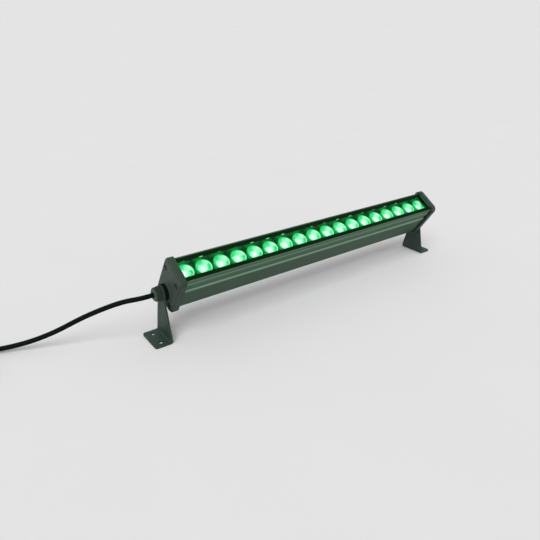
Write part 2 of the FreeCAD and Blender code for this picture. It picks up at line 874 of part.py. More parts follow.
# --- wiring ----------------------------------------------------------------
def smooth_path(points):
    """Straight runs joined by tangent arcs, each as large as its runs allow."""
    corners = [V(*p) for p in points]
    runs = [(b - a).Length for a, b in zip(corners, corners[1:])]
    edges = []
    radii = []
    here = corners[0]
    for i in range(1, len(corners) - 1):
        back = (corners[i - 1] - corners[i]).normalize()
        ahead = (corners[i + 1] - corners[i]).normalize()
        turn = math.pi - back.getAngle(ahead)
        reach = 0.45 * min(runs[i - 1], runs[i])
        radius = reach / math.tan(turn / 2)
        enter = corners[i] + back * reach
        leave = corners[i] + ahead * reach
        inward = (back + ahead).normalize()
        middle = corners[i] + inward * (radius / math.cos(turn / 2) - radius)
        edges.append(Part.makeLine(here, enter))
        edges.append(Part.Arc(enter, middle, leave).toShape())
        radii.append(radius)
        here = leave
    edges.append(Part.makeLine(here, corners[-1]))
    return Part.Wire(edges), radii


def tube(points, radius, label):
    """Round tube along a route; prints its bend radii and checks its volume."""
    path, radii = smooth_path(points)
    start = V(*points[0])
    direction = V(*points[1]) - start
    circle = Part.Wire(Part.makeCircle(radius, start, direction))
    solid = path.makePipeShell([circle], True, False)
    expected = math.pi * radius ** 2 * path.Length
    listed = " ".join("%.0f" % r for r in radii)
    ratio = solid.Volume / expected
    print("%s: length %.1f, radii %s, volume ratio %.4f" % (label, path.Length, listed, ratio))
    return solid


def inner_lead():
    """Jacket of the cord inside the gland and the cap."""
    x_out = -gland_mouth_x
    x_in = -cap_inner_x + inner_lead_end
    return cylinder(cord_radius, x_out, x_in)


def supply_cores():
    """Three cores from the stripped jacket to the terminal block."""
    x0 = -cap_inner_x + inner_lead_end
    x1 = driver_start + part_gap
    z1 = driver_top + terminal_size[2] / 2
    cores = []
    for k in (-1, 0, 1):
        start = (x0, k * core_spacing, 0.0)
        end_y = k * terminal_size[1] / 3
        reach = x1 - x0
        route = [
            start,
            (x0 + reach * core_bend_start, k * core_spacing, 0.0),
            (x0 + reach * core_bend_end, end_y, z1),
            (x1 + terminal_depth / 2, end_y, z1),
        ]
        cores.append(tube(route, core_radius, "supply core"))
    return cores


def board_wires():
    """Two wires from the driver, up through the shelf to the light board."""
    wires = []
    rise = web_bottom - driver_top
    for side in (-1, 1):
        y = side * board_wire_y
        route = [
            (board_wire_x - board_wire_jog, y, driver_top),
            (board_wire_x - board_wire_jog, y, driver_top + rise * core_bend_start),
            (board_wire_x, y, driver_top + rise * core_bend_end),
            (board_wire_x, y, board_top + core_radius),
        ]
        wires.append(tube(route, core_radius, "board wire"))
    return wires


# --- cord and coil ---------------------------------------------------------
def coil_start():
    return V(*cord_route[-1])


def coil_centre():
    start = coil_start()
    return V(start.x - cord_diameter, start.y - coil_outer_radius(), start.z)


def coil_inner_radius():
    """Radius where the spiral would reverse, before the reversal is rounded."""
    return coil_mean_radius - coil_turn_pitch * coil_turns / 4


def coil_outer_radius():
    return coil_inner_radius() + coil_turn_pitch * coil_turns / 2


def coil_point(turn):
    """Centre line of the coil after a number of turns: in, up a layer, and out again."""
    middle = coil_turns / 2
    from_middle = turn - middle
    reversal = 0.25
    if abs(from_middle) < reversal:
        growth = from_middle ** 2 / (2 * reversal) + reversal / 2
    else:
        growth = abs(from_middle)
    radius = coil_inner_radius() + coil_turn_pitch * growth
    share = min(max((from_middle + reversal) / (2 * reversal), 0.0), 1.0)
    climb = coil_layer_pitch * share * share * (3 - 2 * share)
    angle = 0.5 * math.pi + 2 * math.pi * turn
    centre = coil_centre()
    return V(centre.x + radius * math.cos(angle), centre.y + radius * math.sin(angle), centre.z + climb)


def coil_tangent(turn):
    step = 0.0005
    return (coil_point(turn + step) - coil_point(turn - step)).normalize()


def arc_between(start, control, end):
    """Arc tangent to start-control and control-end, which are equally long."""
    middle = (start + end) * 0.5
    towards = control - middle
    leg = (control - start).Length
    half_chord = (end - start).Length / 2
    if towards.Length < 1e-9:
        return Part.makeLine(start, end)
    half_turn = math.acos(min(half_chord / leg, 1.0))
    height = half_chord * math.tan(half_turn / 2)
    return Part.Arc(start, middle + towards.normalize() * height, end).toShape()


def biarc(start, start_direction, end, end_direction):
    """Two tangent arcs from one point and direction to another."""
    chord = end - start
    total = start_direction + end_direction
    denominator = 2 * (1 - start_direction.dot(end_direction))
    along = chord.dot(total)
    reach = (-along + math.sqrt(along ** 2 + denominator * chord.dot(chord))) / denominator
    first = start + start_direction * reach
    second = end - end_direction * reach
    joint = (first + second) * 0.5
    return [arc_between(start, first, joint), arc_between(joint, second, end)]


def cord_coil():
    """Put-away length of cord: one unbroken tube in two layers of turns."""
    start = coil_start()
    steps = int(round(coil_turns * 4))
    entry = coil_point(0.0)
    edges = [Part.makeLine(start, entry)]
    here = entry
    direction = V(-1, 0, 0)
    for k in range(1, steps + 1):
        turn = k * coil_turns / steps
        there = coil_point(turn)
        next_direction = coil_tangent(turn) if k < steps else V(0, -1, 0)
        edges.extend(biarc(here, direction, there, next_direction))
        here = there
        direction = next_direction
    end = here + direction * cord_diameter
    edges.append(Part.makeLine(here, end))
    path = Part.Wire(edges)
    circle = Part.Wire(Part.makeCircle(cord_radius, start, V(-1, 0, 0)))
    solid = path.makePipeShell([circle], True, False)
    expected = math.pi * cord_radius ** 2 * path.Length
    print("coil: length %.1f, volume ratio %.4f" % (path.Length, solid.Volume / expected))
    print("coil: least gap to itself %.2f" % least_coil_gap())
    return solid, end


def least_coil_gap():
    """Smallest distance between turns more than a third of a turn apart."""
    samples = int(coil_turns * 72)
    points = [coil_point(coil_turns * k / samples) for k in range(samples + 1)]
    apart = samples / coil_turns / 3
    least = 1e9
    for i, a in enumerate(points):
        for j in range(i + int(apart), len(points)):
            least = min(least, (points[j] - a).Length)
    return least - cord_diameter


def coil_tie():
    """Flat band round both layers, on the side away from the lamp."""
    centre = coil_centre()
    inside = tie_gap + cord_radius
    r0 = coil_inner_radius() - inside
    r1 = coil_outer_radius() + inside
    z0 = centre.z - inside
    z1 = centre.z + coil_layer_pitch + inside
    y = centre.y
    outer = Part.makeBox(
        tie_width, r1 - r0 + 2 * tie_thickness, z1 - z0 + 2 * tie_thickness,
        V(centre.x - tie_width / 2, y - r1 - tie_thickness, z0 - tie_thickness),
    )
    inner = Part.makeBox(tie_width, r1 - r0, z1 - z0, V(centre.x - tie_width / 2, y - r1, z0))
    long_outer = [e for e in outer.Edges if e.BoundBox.XLength > tie_width / 2]
    long_inner = [e for e in inner.Edges if e.BoundBox.XLength > tie_width / 2]
    return outer.makeFillet(tie_outer_round, long_outer).cut(inner.makeFillet(tie_inner_round, long_inner))


# --- connector on the cord's end -------------------------------------------
def connector(mouth):
    """Round screw connector: gripping body, coupling ring and three pins."""
    away = V(0, -1, 0)
    neck = connector_neck_length
    grip = neck + connector_grip
    ring_end = grip + connector_ring_length
    face = ring_end - connector_face_depth
    bore = cord_radius + connector_bore_gap
    grip_radius = connector_radius - connector_wall_step
    spigot = connector_face_radius - connector_wall_step - ring_play
    body = revolved(
        [
            (bore, 0.0),
            (connector_neck_radius - connector_bevel, 0.0),
            (connector_neck_radius, connector_bevel),
            (connector_neck_radius + connector_flare, neck),
            (grip_radius - connector_wall_step, neck),
            (grip_radius - connector_wall_step, neck + connector_step),
            (grip_radius, grip - connector_step),
            (grip_radius, grip),
            (spigot, grip),
            (spigot, face),
            (0.0, face),
            (0.0, neck),
            (bore, neck),
        ],
        mouth,
        away,
    )
    ring_start = grip + ring_play
    shoulder = connector_face_radius - ring_shoulder_reach + ring_play
    ring = revolved(
        [
            (shoulder, ring_start),
            (connector_radius - connector_bevel, ring_start),
            (connector_radius, ring_start + connector_bevel),
            (connector_radius, ring_end - connector_bevel),
            (connector_radius - connector_bevel, ring_end),
            (connector_face_radius, ring_end),
            (connector_face_radius, grip + ring_shoulder),
            (shoulder, grip + ring_shoulder),
        ],
        mouth,
        away,
    )
    groove_length = connector_ring_length - 2 * ring_groove_margin
    for k in range(ring_groove_count):
        angle = 2 * math.pi * k / ring_groove_count
        offset = V(math.cos(angle), 0, math.sin(angle)) * (connector_radius + ring_groove_offset)
        start = mouth + offset + away * (grip + ring_groove_margin)
        ring = ring.cut(Part.makeCylinder(ring_groove_radius, groove_length, start, away))
    pins = []
    for k in range(pin_count):
        angle = 2 * math.pi * k / pin_count + math.pi / 2
        offset = V(math.cos(angle), 0, math.sin(angle)) * pin_circle
        pins.append(Part.makeCylinder(pin_radius, pin_length, mouth + offset + away * face, away))
    return body, ring, pins


# --- build -----------------------------------------------------------------
def main():
    save("housing_profile", tilted(housing_profile()))
    save("front_glass", tilted(front_glass()))
    save("upper_glass_seal", tilted(glass_seal(1)))
    save("lower_glass_seal", tilted(glass_seal(-1)))
    save("led_board", tilted(led_board()))
    save("board_screws", [tilted(s) for s in board_screws()])
    save("led_chips", [tilted(s) for s in led_chips()])
    save("lens_holders", [tilted(s) for s in lens_holders()])
    save("lenses", [tilted(s) for s in lenses()])
    save("driver_board", tilted(driver_board()))
    save("terminal_block", tilted(terminal_block()))
    save("driver_transformer", tilted(driver_transformer()))
    save("driver_capacitors", [tilted(s) for s in driver_capacitors()])
    save("driver_switches", [tilted(s) for s in driver_switches()])
    left_cap, right_cap = both_ends(end_cap())
    save("left_end_cap", tilted(cap_with_pivot(left_cap, LEFT)))
    save("right_end_cap", tilted(cap_with_pivot(right_cap, RIGHT)))
    for name, shape in zip(("left_gasket", "right_gasket"), both_ends(gasket())):
        save(name, tilted(shape))
    left_screws = cap_screws()
    save("left_cap_screws", [tilted(s) for s in left_screws])
    save("right_cap_screws", [tilted(both_ends(s)[1]) for s in left_screws])
    save("right_bracket", raised(bracket(right_arm_x)))
    save("left_bracket", raised(bracket(left_arm_x).mirror(V(0, 0, 0), X_AXIS)))
    save("right_friction_washer", raised(friction_washer(right_arm_x)))
    save("left_friction_washer", raised(friction_washer(left_arm_x).mirror(V(0, 0, 0), X_AXIS)))
    save("gland_body", tilted(gland_body()))
    save("gland_nut", tilted(gland_nut()))
    save("gland_seal", raised(gland_seal()))
    save("gland_locknut", tilted(gland_locknut()))
    bolt, plain, spring = right_pivot()
    save("right_pivot_bolt", tilted(bolt))
    save("right_flat_washer", raised(plain))
    save("right_spring_washer", tilted(spring))
    save("inner_lead", raised(inner_lead()))
    save("supply_cores", [tilted(s) for s in supply_cores()])
    save("board_wires", [tilted(s) for s in board_wires()])
    save("cord_lead", tube(cord_route, cord_radius, "cord lead"))
    coil, coil_end = cord_coil()
    save("cord_coil", coil)
    save("coil_tie", coil_tie())
    tail_route = [tuple(coil_end + V(*step)) for step in tail_steps]
    save("cord_tail", tube(tail_route, cord_radius, "cord tail"))
    body, ring, pins = connector(V(*tail_route[-1]))
    save("connector_body", body)
    save("connector_ring", ring)
    save("connector_pins", pins)


main()
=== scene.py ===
import json
import math

import bmesh
import bpy
from mathutils import Matrix, Vector


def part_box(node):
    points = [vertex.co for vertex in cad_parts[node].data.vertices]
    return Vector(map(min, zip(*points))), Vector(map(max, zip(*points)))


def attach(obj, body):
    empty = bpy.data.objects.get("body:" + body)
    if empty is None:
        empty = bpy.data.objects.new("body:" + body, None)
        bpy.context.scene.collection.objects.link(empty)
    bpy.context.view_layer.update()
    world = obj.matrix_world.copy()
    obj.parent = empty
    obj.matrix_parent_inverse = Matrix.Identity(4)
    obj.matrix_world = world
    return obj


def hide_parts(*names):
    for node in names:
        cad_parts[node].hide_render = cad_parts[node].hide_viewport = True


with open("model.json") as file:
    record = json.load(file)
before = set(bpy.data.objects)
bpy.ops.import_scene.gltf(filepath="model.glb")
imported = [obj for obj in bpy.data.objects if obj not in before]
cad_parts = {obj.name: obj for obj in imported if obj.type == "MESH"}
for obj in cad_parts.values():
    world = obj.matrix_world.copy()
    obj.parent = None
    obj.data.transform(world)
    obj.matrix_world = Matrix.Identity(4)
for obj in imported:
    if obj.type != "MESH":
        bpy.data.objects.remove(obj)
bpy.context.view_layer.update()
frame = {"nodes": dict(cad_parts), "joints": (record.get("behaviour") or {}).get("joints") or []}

# Outdoor wall washer light, in metres: X along the bar, the cord at -X, the window turned up and to -Y.
# Each section is one piece or group of like pieces, in the order in which the lamp is put together.
nodes = frame["nodes"]


# --- housing extrusion ---
# One length of extruded aluminium, anodised dark grey, with a green tint painted on for the lenses' light.
# The die leaves fine lines along the bar, the feet of the side grooves carry painted highlights, the sides'
# upper part is painted lighter as a highlight, and handling leaves faint rubbed patches. The lens bay
# inside it is painted dark, as shade, with a painted green glow from the lenses.
def colour(red, green, blue):
    """Linear colour of three display values from 0 to 255."""
    linear = []
    for level in (red, green, blue):
        share = level / 255
        linear.append(share / 12.92 if share <= 0.04045 else ((share + 0.055) / 1.055) ** 2.4)
    return (*linear, 1.0)


class Signal:
    """An output socket in a material's node tree. Arithmetic on it adds Math nodes."""

    def __init__(self, tree, socket=None):
        self.tree = tree
        self.socket = socket

    def node(self, kind, settings, sockets, output=0):
        """Add any node: its settings first, then the values or links of its sockets."""
        made = self.tree.nodes.new(kind)
        for name, value in settings.items():
            if name == "stops":
                elements = made.color_ramp.elements
                while len(elements) < len(value):
                    elements.new(1.0)
                for element, (place, shade) in zip(elements, value):
                    element.position = place
                    element.color = shade
            else:
                setattr(made, name, value)
        for name, value in sockets.items():
            if isinstance(value, Signal):
                self.tree.links.new(value.socket, made.inputs[name])
            else:
                made.inputs[name].default_value = value
        return Signal(self.tree, made.outputs[output])

    def math(self, operation, *values):
        return self.node("ShaderNodeMath", {"operation": operation}, dict(enumerate(values)))

    def __add__(self, other):
        return self.math("ADD", self, other)

    __radd__ = __add__

    def __sub__(self, other):
        return self.math("SUBTRACT", self, other)

    def __rsub__(self, other):
        return self.math("SUBTRACT", other, self)

    def __mul__(self, other):
        return self.math("MULTIPLY", self, other)

    __rmul__ = __mul__

    def __truediv__(self, other):
        return self.math("DIVIDE", self, other)

    def __abs__(self):
        return self.math("ABSOLUTE", self)

    def most(self, other):
        return self.math("MAXIMUM", self, other)

    def cycle(self):
        """Share of the way through the present whole number."""
        return self.math("FRACT", self)

    def root(self):
        return self.math("SQRT", self)

    def between(self, low, high):
        """0 below low, 1 above high, smooth between; the other way round where low is the higher."""
        sockets = {"Value": self, "From Min": low, "From Max": high}
        return self.node("ShaderNodeMapRange", {"interpolation_type": "SMOOTHSTEP"}, sockets)

    def axis(self, index):
        return self.node("ShaderNodeSeparateXYZ", {}, {"Vector": self}, index)

    def stretched(self, x, y, z):
        """Place multiplied along each axis, so a pattern read there is that much narrower."""
        return self.node("ShaderNodeVectorMath", {"operation": "MULTIPLY"}, {0: self, 1: (x, y, z)})

    def noise(self, scale, detail=2.0, roughness=0.5):
        """Soft uneven pattern; scale is its blotches per metre."""
        sockets = {"Vector": self, "Scale": scale, "Detail": detail, "Roughness": roughness}
        return self.node("ShaderNodeTexNoise", {}, sockets)

    def cells(self, scale):
        """Distance from the middle of the nearest cell of an uneven pattern; scale is cells per metre."""
        return self.node("ShaderNodeTexVoronoi", {}, {"Vector": self, "Scale": scale})

    def mix(self, first, second):
        """Colour from first, where this is 0, to second, where it is 1."""
        sockets = {"Factor": self, 6: first, 7: second}
        return self.node("ShaderNodeMix", {"data_type": "RGBA"}, sockets, 2)

    def bump(self, height, strength, below=None):
        """Normal of a surface that this raises by height, on top of the bump below."""
        sockets = {"Height": self, "Strength": strength, "Distance": height}
        if below is not None:
            sockets["Normal"] = below
        return self.node("ShaderNodeBump", {}, sockets)


class Finish:
    """A material on one Principled shader, with the places that its patterns read."""

    def __init__(self, name, **fixed):
        self.material = bpy.data.materials.new(name)
        self.material.use_nodes = True
        tree = self.material.node_tree
        self.shader = tree.nodes["Principled BSDF"]
        self.start = Signal(tree)
        self.place = self.start.node("ShaderNodeTexCoord", {}, {}, 3)
        for label, value in fixed.items():
            self.shader.inputs[label.replace("_", " ")].default_value = value

    def feed(self, **signals):
        for label, signal in signals.items():
            self.start.tree.links.new(signal.socket, self.shader.inputs[label.replace("_", " ")])

    def lamp_place(self):
        """Place in the upright lamp's own frame: window up, its middle on the pivot axis at the origin."""
        sockets = {
            "Vector": self.place,
            "Location": (lamp_middle_x, 0.0, pivot_height),
            "Rotation": (window_tilt, 0.0, 0.0),
        }
        return self.start.node("ShaderNodeMapping", {"vector_type": "TEXTURE"}, sockets)


def beside_lens(along):
    """Distance to the right of the nearest lens's middle, as a share of the lens pitch."""
    return (along / lens_pitch).cycle() - 0.5


def dress(finish, *names):
    """Give CAD nodes a finish."""
    for name in names:
        mesh = nodes[name].data
        mesh.materials.clear()
        mesh.materials.append(finish.material)


profile_low, profile_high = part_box("housing_profile")
lamp_middle_x = (profile_low.x + profile_high.x) / 2
pivot_height = frame["joints"][0]["pos_m"][2]
window_tilt = math.radians(32.5)
front_height = 0.0435        # pivot axis to the housing's front edges
bay_depth = 0.021            # front edges to the shelf under the lenses
bay_half_width = 0.0162
lens_pitch = 0.027
lens_radius = 0.0117
lens_depth = 0.0073          # front edges to the lenses' faces
die_line_pitch = 0.0005
die_line_run = 0.004         # share of its density that the line pattern keeps along the bar
half_profile = 0.02          # housing's middle plane to its sides
upper_highlight_depth = 0.0082       # front edges to the middle of the painted highlight at the upper groove's foot
lower_highlight_depth = 0.0226       # and of the lower groove's
painted_light_foot = 0.0246          # front edges to the foot of the sides' upper part, painted lighter as a highlight
lit_bay_top = 0.0048         # front edges to where the bay's walls are lit, under the glass
unlit = (0.0, 0.0, 0.0, 1.0)

anodised = Finish("dark anodised extrusion", Specular_IOR_Level=0.2, Emission_Strength=1.0)
lamp_place = anodised.lamp_place()
die_scale = 1 / die_line_pitch
die_lines = lamp_place.stretched(die_scale * die_line_run, die_scale, die_scale).noise(1.0, 3.0)
rubbed = lamp_place.stretched(1.0, 3.0, 3.0).noise(14.0, 4.0, 0.6).between(0.35, 0.75)
along, across, height = (lamp_place.axis(i) for i in range(3))
under_front = front_height - height
below_face = half_profile - abs(across)
upper_slope = below_face.between(0.0001, 0.0004) * abs(under_front - upper_highlight_depth).between(0.0020, 0.0010)
lower_slope = abs(under_front - lower_highlight_depth).between(0.0032, 0.0008)
outside = under_front.between(0.0002, 0.0006)
# Painted highlights at the grooves' feet, where the slopes would catch the light.
groove_highlight = (upper_slope * 0.75).most(lower_slope) * outside
# The bay's walls under the glass: base painted dark as shade, with a painted green glow from the lenses.
in_bay = abs(across).between(bay_half_width + 0.0004, bay_half_width + 0.0002)
in_bay = in_bay * under_front.between(lit_bay_top - 0.0008, lit_bay_top)
in_bay = in_bay * under_front.between(bay_depth + 0.0006, bay_depth + 0.0003)
from_lens = abs(beside_lens(along))
wall_light = from_lens.between(0.5, 0.0) * under_front.between(bay_depth, lens_depth)
wall_patches = lamp_place.stretched(1.0, 0.6, 0.6).noise(110.0, 3.0).between(0.38, 0.62)
painted_wall_glow = (wall_light * 0.6 + wall_patches * 0.4).mix(colour(0, 40, 12), colour(24, 122, 54))
# The green in these greys is painted light from the lenses.
anodised_grey = (die_lines * 0.45 + rubbed * 0.55).mix(colour(42, 67, 49), colour(58, 87, 66))
# The sides' upper part is painted lighter, as a painted highlight.
painted_light_upper = under_front.between(painted_light_foot + 0.0016, painted_light_foot)
outer_grey = groove_highlight.most(painted_light_upper * 0.16).mix(anodised_grey, colour(118, 154, 127))
anodised.feed(
    Base_Color=in_bay.mix(outer_grey, colour(4, 22, 9)),
    Roughness=0.42 + rubbed * 0.1 + die_lines * 0.1,
    Normal=die_lines.bump(0.00003, 0.45),
    Emission_Color=in_bay.mix(unlit, painted_wall_glow),
)
dress(anodised, "housing_profile")

# --- driver board ---
# Glass-fibre board across the driver bay, with a green solder mask over copper tracks, and the wires'
# solder joints showing through it as paler spots.
mask_green = Finish("driver board mask", Roughness=0.35)
tracks = mask_green.lamp_place().stretched(1.0, 2.6, 1.0).cells(160.0).between(0.2, 0.35)
weave = mask_green.place.noise(2500.0)
mask_green.feed(
    Base_Color=tracks.mix(colour(38, 112, 62), colour(16, 70, 36)),
    Roughness=0.3 + weave * 0.15,
    Normal=tracks.bump(0.00004, 0.5, weave.bump(0.00001, 0.3)),
)
dress(mask_green, "driver_board")

# --- terminal block ---
# Three-way block moulded in green nylon, soldered to the driver board by its pins. The cores go in at its
# side, and screws in its top hold them.
block_green = Finish("moulded terminal nylon", Roughness=0.45)
mould_grain = block_green.place.noise(1400.0)
block_green.feed(
    Base_Color=mould_grain.mix(colour(34, 104, 60), colour(46, 122, 72)),
    Roughness=0.4 + mould_grain * 0.15,
    Normal=mould_grain.bump(0.00002, 0.4),
)
dress(block_green, "terminal_block")

# --- transformer ---
# Bobbin of copper wire wound over with yellow polyester tape, clamped in a dark ferrite core that stands
# out at both sides.
winding = Finish("winding tape and ferrite", Roughness=0.4)
winding_place = winding.lamp_place()
core_reach = 0.0101          # bobbin's middle to where the ferrite stands out of it
winding_pitch = 0.0045       # from one turn of tape to the next
ferrite = abs(winding_place.axis(1)).between(core_reach - 0.0002, core_reach)
tape_edges = abs((winding_place.axis(2) / winding_pitch).cycle() - 0.5).between(0.44, 0.5)
ferrite_grain = winding.place.noise(1800.0, 3.0)
tape_yellow = tape_edges.mix(colour(196, 164, 44), colour(150, 120, 30))
winding.feed(
    Base_Color=ferrite.mix(tape_yellow, ferrite_grain.mix(colour(34, 34, 36), colour(52, 52, 54))),
    Roughness=0.25 + ferrite * 0.45,
    Normal=(tape_edges + ferrite * ferrite_grain).bump(0.00006, 0.5),
)
dress(winding, "driver_transformer")

# --- capacitors ---
# Drawn aluminium cans in a dark shrink sleeve with a pale stripe down the negative side. The can's top is
# bare metal.
sleeve = Finish("capacitor sleeve", Roughness=0.3)
sleeve_place = sleeve.lamp_place()
can_top = 0.0087             # pivot axis up to the cans' tops
bare_top = sleeve_place.axis(2).between(can_top - 0.0004, can_top - 0.0002)
stripe_edge = -0.0045        # the stripe lies past this, on the cans' side
stripe = sleeve_place.axis(1).between(stripe_edge, stripe_edge - 0.0005)
brushed = sleeve.place.noise(1200.0)
film = stripe.mix(brushed.mix(colour(22, 26, 48), colour(30, 35, 62)), colour(168, 172, 178))
sleeve.feed(
    Base_Color=bare_top.mix(film, brushed.mix(colour(150, 152, 155), colour(178, 180, 183))),
    Metallic=bare_top,
    Roughness=0.25 + brushed * 0.15,
    Normal=brushed.bump(0.00002, 0.3),
)
dress(sleeve, "driver_capacitors")

# --- power transistors ---
# Flat packages moulded in black epoxy, which stand along the board on their leads. The moulding is matt,
# with a fine grain.
epoxy = Finish("black epoxy package", Roughness=0.55)
epoxy_grain = epoxy.place.noise(2200.0, 3.0)
epoxy.feed(
    Base_Color=epoxy_grain.mix(colour(24, 25, 26), colour(40, 41, 42)),
    Roughness=0.5 + epoxy_grain * 0.15,
    Normal=epoxy_grain.bump(0.00002, 0.5),
)
dress(epoxy, "driver_switches")

# --- wires ---
# Thin stranded wires in glossy insulation: brown, green and blue supply cores side by side, and a red and
# a black wire up through the shelf to the light board.
supply = Finish("supply core insulation", Roughness=0.3)
core_side = supply.lamp_place().axis(1)
skin = supply.place.noise(900.0)
core_edge = 0.0010           # middle core's axis to the line between it and the next
core_blend = 0.0001
is_green = core_side.between(-core_edge - core_blend, -core_edge + core_blend)
is_blue = core_side.between(core_edge - core_blend, core_edge + core_blend)
brown_to_green = is_green.mix(colour(104, 60, 34), colour(70, 128, 48))
supply.feed(
    Base_Color=is_blue.mix(brown_to_green, colour(40, 84, 160)),
    Roughness=0.25 + skin * 0.15,
    Normal=skin.bump(0.00002, 0.3),
)
dress(supply, "supply_cores")

board_lead = Finish("board wire insulation", Roughness=0.3)
lead_side = board_lead.lamp_place().axis(1)
lead_skin = board_lead.place.noise(900.0)
board_lead.feed(
    Base_Color=lead_side.between(-0.001, 0.001).mix(colour(160, 34, 28), colour(26, 26, 28)),
    Roughness=0.25 + lead_skin * 0.15,
    Normal=lead_skin.bump(0.00002, 0.3),
)
dress(board_lead, "board_wires")

# --- light board ---
# Aluminium-core board on the housing's shelf with a black solder mask. It lies in the lenses' green light,
# brightest in the narrow gaps between their holders.
board_mask = Finish("light board mask", Specular_IOR_Level=0.1, Emission_Strength=1.0)
board_place = board_mask.lamp_place()
speckle = board_mask.place.noise(900.0)
gap_start = 0.36             # lens's middle to the gap beside it, as a share of the pitch
lit_half_width = 0.013
board_gap = abs(beside_lens(board_place.axis(0))).between(gap_start, 0.5)
board_light = board_gap * abs(board_place.axis(1)).between(lit_half_width, 0.002)
copper_lines = board_place.stretched(1.0, 3.0, 1.0).cells(220.0).between(0.25, 0.4)
board_mask.feed(
    Base_Color=copper_lines.mix(colour(8, 34, 16), colour(2, 16, 7)),
    Roughness=0.35 + speckle * 0.15,
    Normal=copper_lines.bump(0.00003, 0.5),
    Emission_Color=board_light.mix(colour(0, 70, 24), colour(8, 194, 88)),
)
dress(board_mask, "led_board")


# --- board resistors and capacitors ---
# Small surface parts soldered between the lenses: a black resistor with bright end caps at the middle of
# each gap, and a tan ceramic capacitor beside it. A placing machine sets them in one straight row.
def copies_tree():
    """Copies of a shape from Start by Step, each turned by a further Turn about Y."""
    tree = bpy.data.node_groups.new("copies", "GeometryNodeTree")
    tree.interface.new_socket("Shape", in_out="INPUT", socket_type="NodeSocketGeometry")
    for label, kind in (("Count", "Int"), ("Start", "Vector"), ("Step", "Vector"), ("Turn", "Float"),
                        ("Material", "Material")):
        tree.interface.new_socket(label, in_out="INPUT", socket_type="NodeSocket" + kind)
    tree.interface.new_socket("Copies", in_out="OUTPUT", socket_type="NodeSocketGeometry")
    kinds = {
        "given": "NodeGroupInput", "line": "GeometryNodeMeshLine", "index": "GeometryNodeInputIndex",
        "turned": "ShaderNodeMath", "angles": "ShaderNodeCombineXYZ",
        "copies": "GeometryNodeInstanceOnPoints", "real": "GeometryNodeRealizeInstances",
        "painted": "GeometryNodeSetMaterial", "result": "NodeGroupOutput",
    }
    made = {label: tree.nodes.new(kind) for label, kind in kinds.items()}
    made["turned"].operation = "MULTIPLY"
    for source, output, target, entry in (
        ("given", "Count", "line", "Count"),
        ("given", "Start", "line", "Start Location"),
        ("given", "Step", "line", "Offset"),
        ("index", 0, "turned", 0),
        ("given", "Turn", "turned", 1),
        ("turned", 0, "angles", "Y"),
        ("line", 0, "copies", "Points"),
        ("given", "Shape", "copies", "Instance"),
        ("angles", 0, "copies", "Rotation"),
        ("copies", 0, "real", 0),
        ("real", 0, "painted", "Geometry"),
        ("given", "Material", "painted", "Material"),
        ("painted", 0, "result", 0),
    ):
        tree.links.new(made[source].outputs[output], made[target].inputs[entry])
    return tree


def plain_mesh(thing):
    """The thing's mesh as its modifiers leave it, with sharp edges kept and the rest smooth."""
    evaluated = thing.evaluated_get(bpy.context.evaluated_depsgraph_get())
    mesh = bpy.data.meshes.new_from_object(evaluated)
    thing.modifiers.clear()
    thing.data = mesh
    mesh.shade_smooth()
    mesh.set_sharp_from_angle(angle=math.radians(35))


def new_piece(name, shape):
    """Object for a finished mesh shape, at the origin."""
    bmesh.ops.recalc_face_normals(shape, faces=shape.faces)
    mesh = bpy.data.meshes.new(name)
    shape.to_mesh(mesh)
    shape.free()
    piece = bpy.data.objects.new(name, mesh)
    bpy.context.scene.collection.objects.link(piece)
    return piece


def repeated(name, shape, finish, slot, **inputs):
    """Row or ring of copies of a small shape, riding on the lamp."""
    piece = new_piece(name, shape)
    modifier = piece.modifiers.new("copies", "NODES")
    modifier.node_group = copies
    entries = {item.name: item.identifier for item in copies.interface.items_tree if item.in_out == "INPUT"}
    modifier[entries["Material"]] = finish.material
    for label, value in inputs.items():
        modifier[entries[label]] = value
    plain_mesh(piece)
    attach(piece, "lamp")
    return piece


def rounded_block(length, width, height, bevel):
    """Block on the XY plane, centred on Z, with bevelled edges."""
    shape = bmesh.new()
    bmesh.ops.create_cube(shape, size=1.0)
    bmesh.ops.scale(shape, vec=(length, width, height), verts=shape.verts)
    bmesh.ops.translate(shape, vec=(0.0, 0.0, height / 2), verts=shape.verts)
    bmesh.ops.bevel(shape, geom=shape.edges[:], offset=bevel, segments=2, profile=0.5, affect="EDGES")
    return shape


lamp_turn = Matrix.Rotation(window_tilt, 4, "X")
lamp_matrix = Matrix.Translation((lamp_middle_x, 0.0, pivot_height)) @ lamp_turn
copies = copies_tree()
lens_count = round((profile_high.x - profile_low.x) / lens_pitch)
gap_count = lens_count - 1
board_thickness = 0.0016
board_face = front_height - bay_depth + board_thickness
first_gap = -(gap_count - 1) / 2 * lens_pitch
resistor_width = 0.0016
resistor_length = 0.0032
resistor_height = 0.0006
resistor_bevel = 0.00012
tinned_length = 0.0004       # bright cap on each end of a resistor

end_caps = Finish("resistor with tinned ends", Roughness=0.35, Emission_Strength=1.0)
part_side = end_caps.lamp_place().axis(1)
tin_start = resistor_length / 2 - tinned_length
tinned = abs(part_side).between(tin_start - 0.0002, tin_start)
part_grain = end_caps.place.noise(3000.0)
# Emission paints a green glow from the lenses, brighter on the tinned ends.
end_caps.feed(
    Base_Color=tinned.mix(colour(20, 26, 22), colour(150, 176, 158)),
    Metallic=tinned * 0.9,
    Normal=part_grain.bump(0.00001, 0.4),
    Emission_Color=tinned.mix(colour(0, 40, 14), colour(4, 84, 34)),
)
resistor = rounded_block(resistor_width, resistor_length, resistor_height, resistor_bevel)
bmesh.ops.transform(resistor, matrix=lamp_turn, verts=resistor.verts)
repeated(
    "board_resistors", resistor, end_caps, "board_black",
    Count=gap_count, Start=lamp_matrix @ Vector((first_gap, 0.0, board_face)), Step=(lens_pitch, 0.0, 0.0),
)

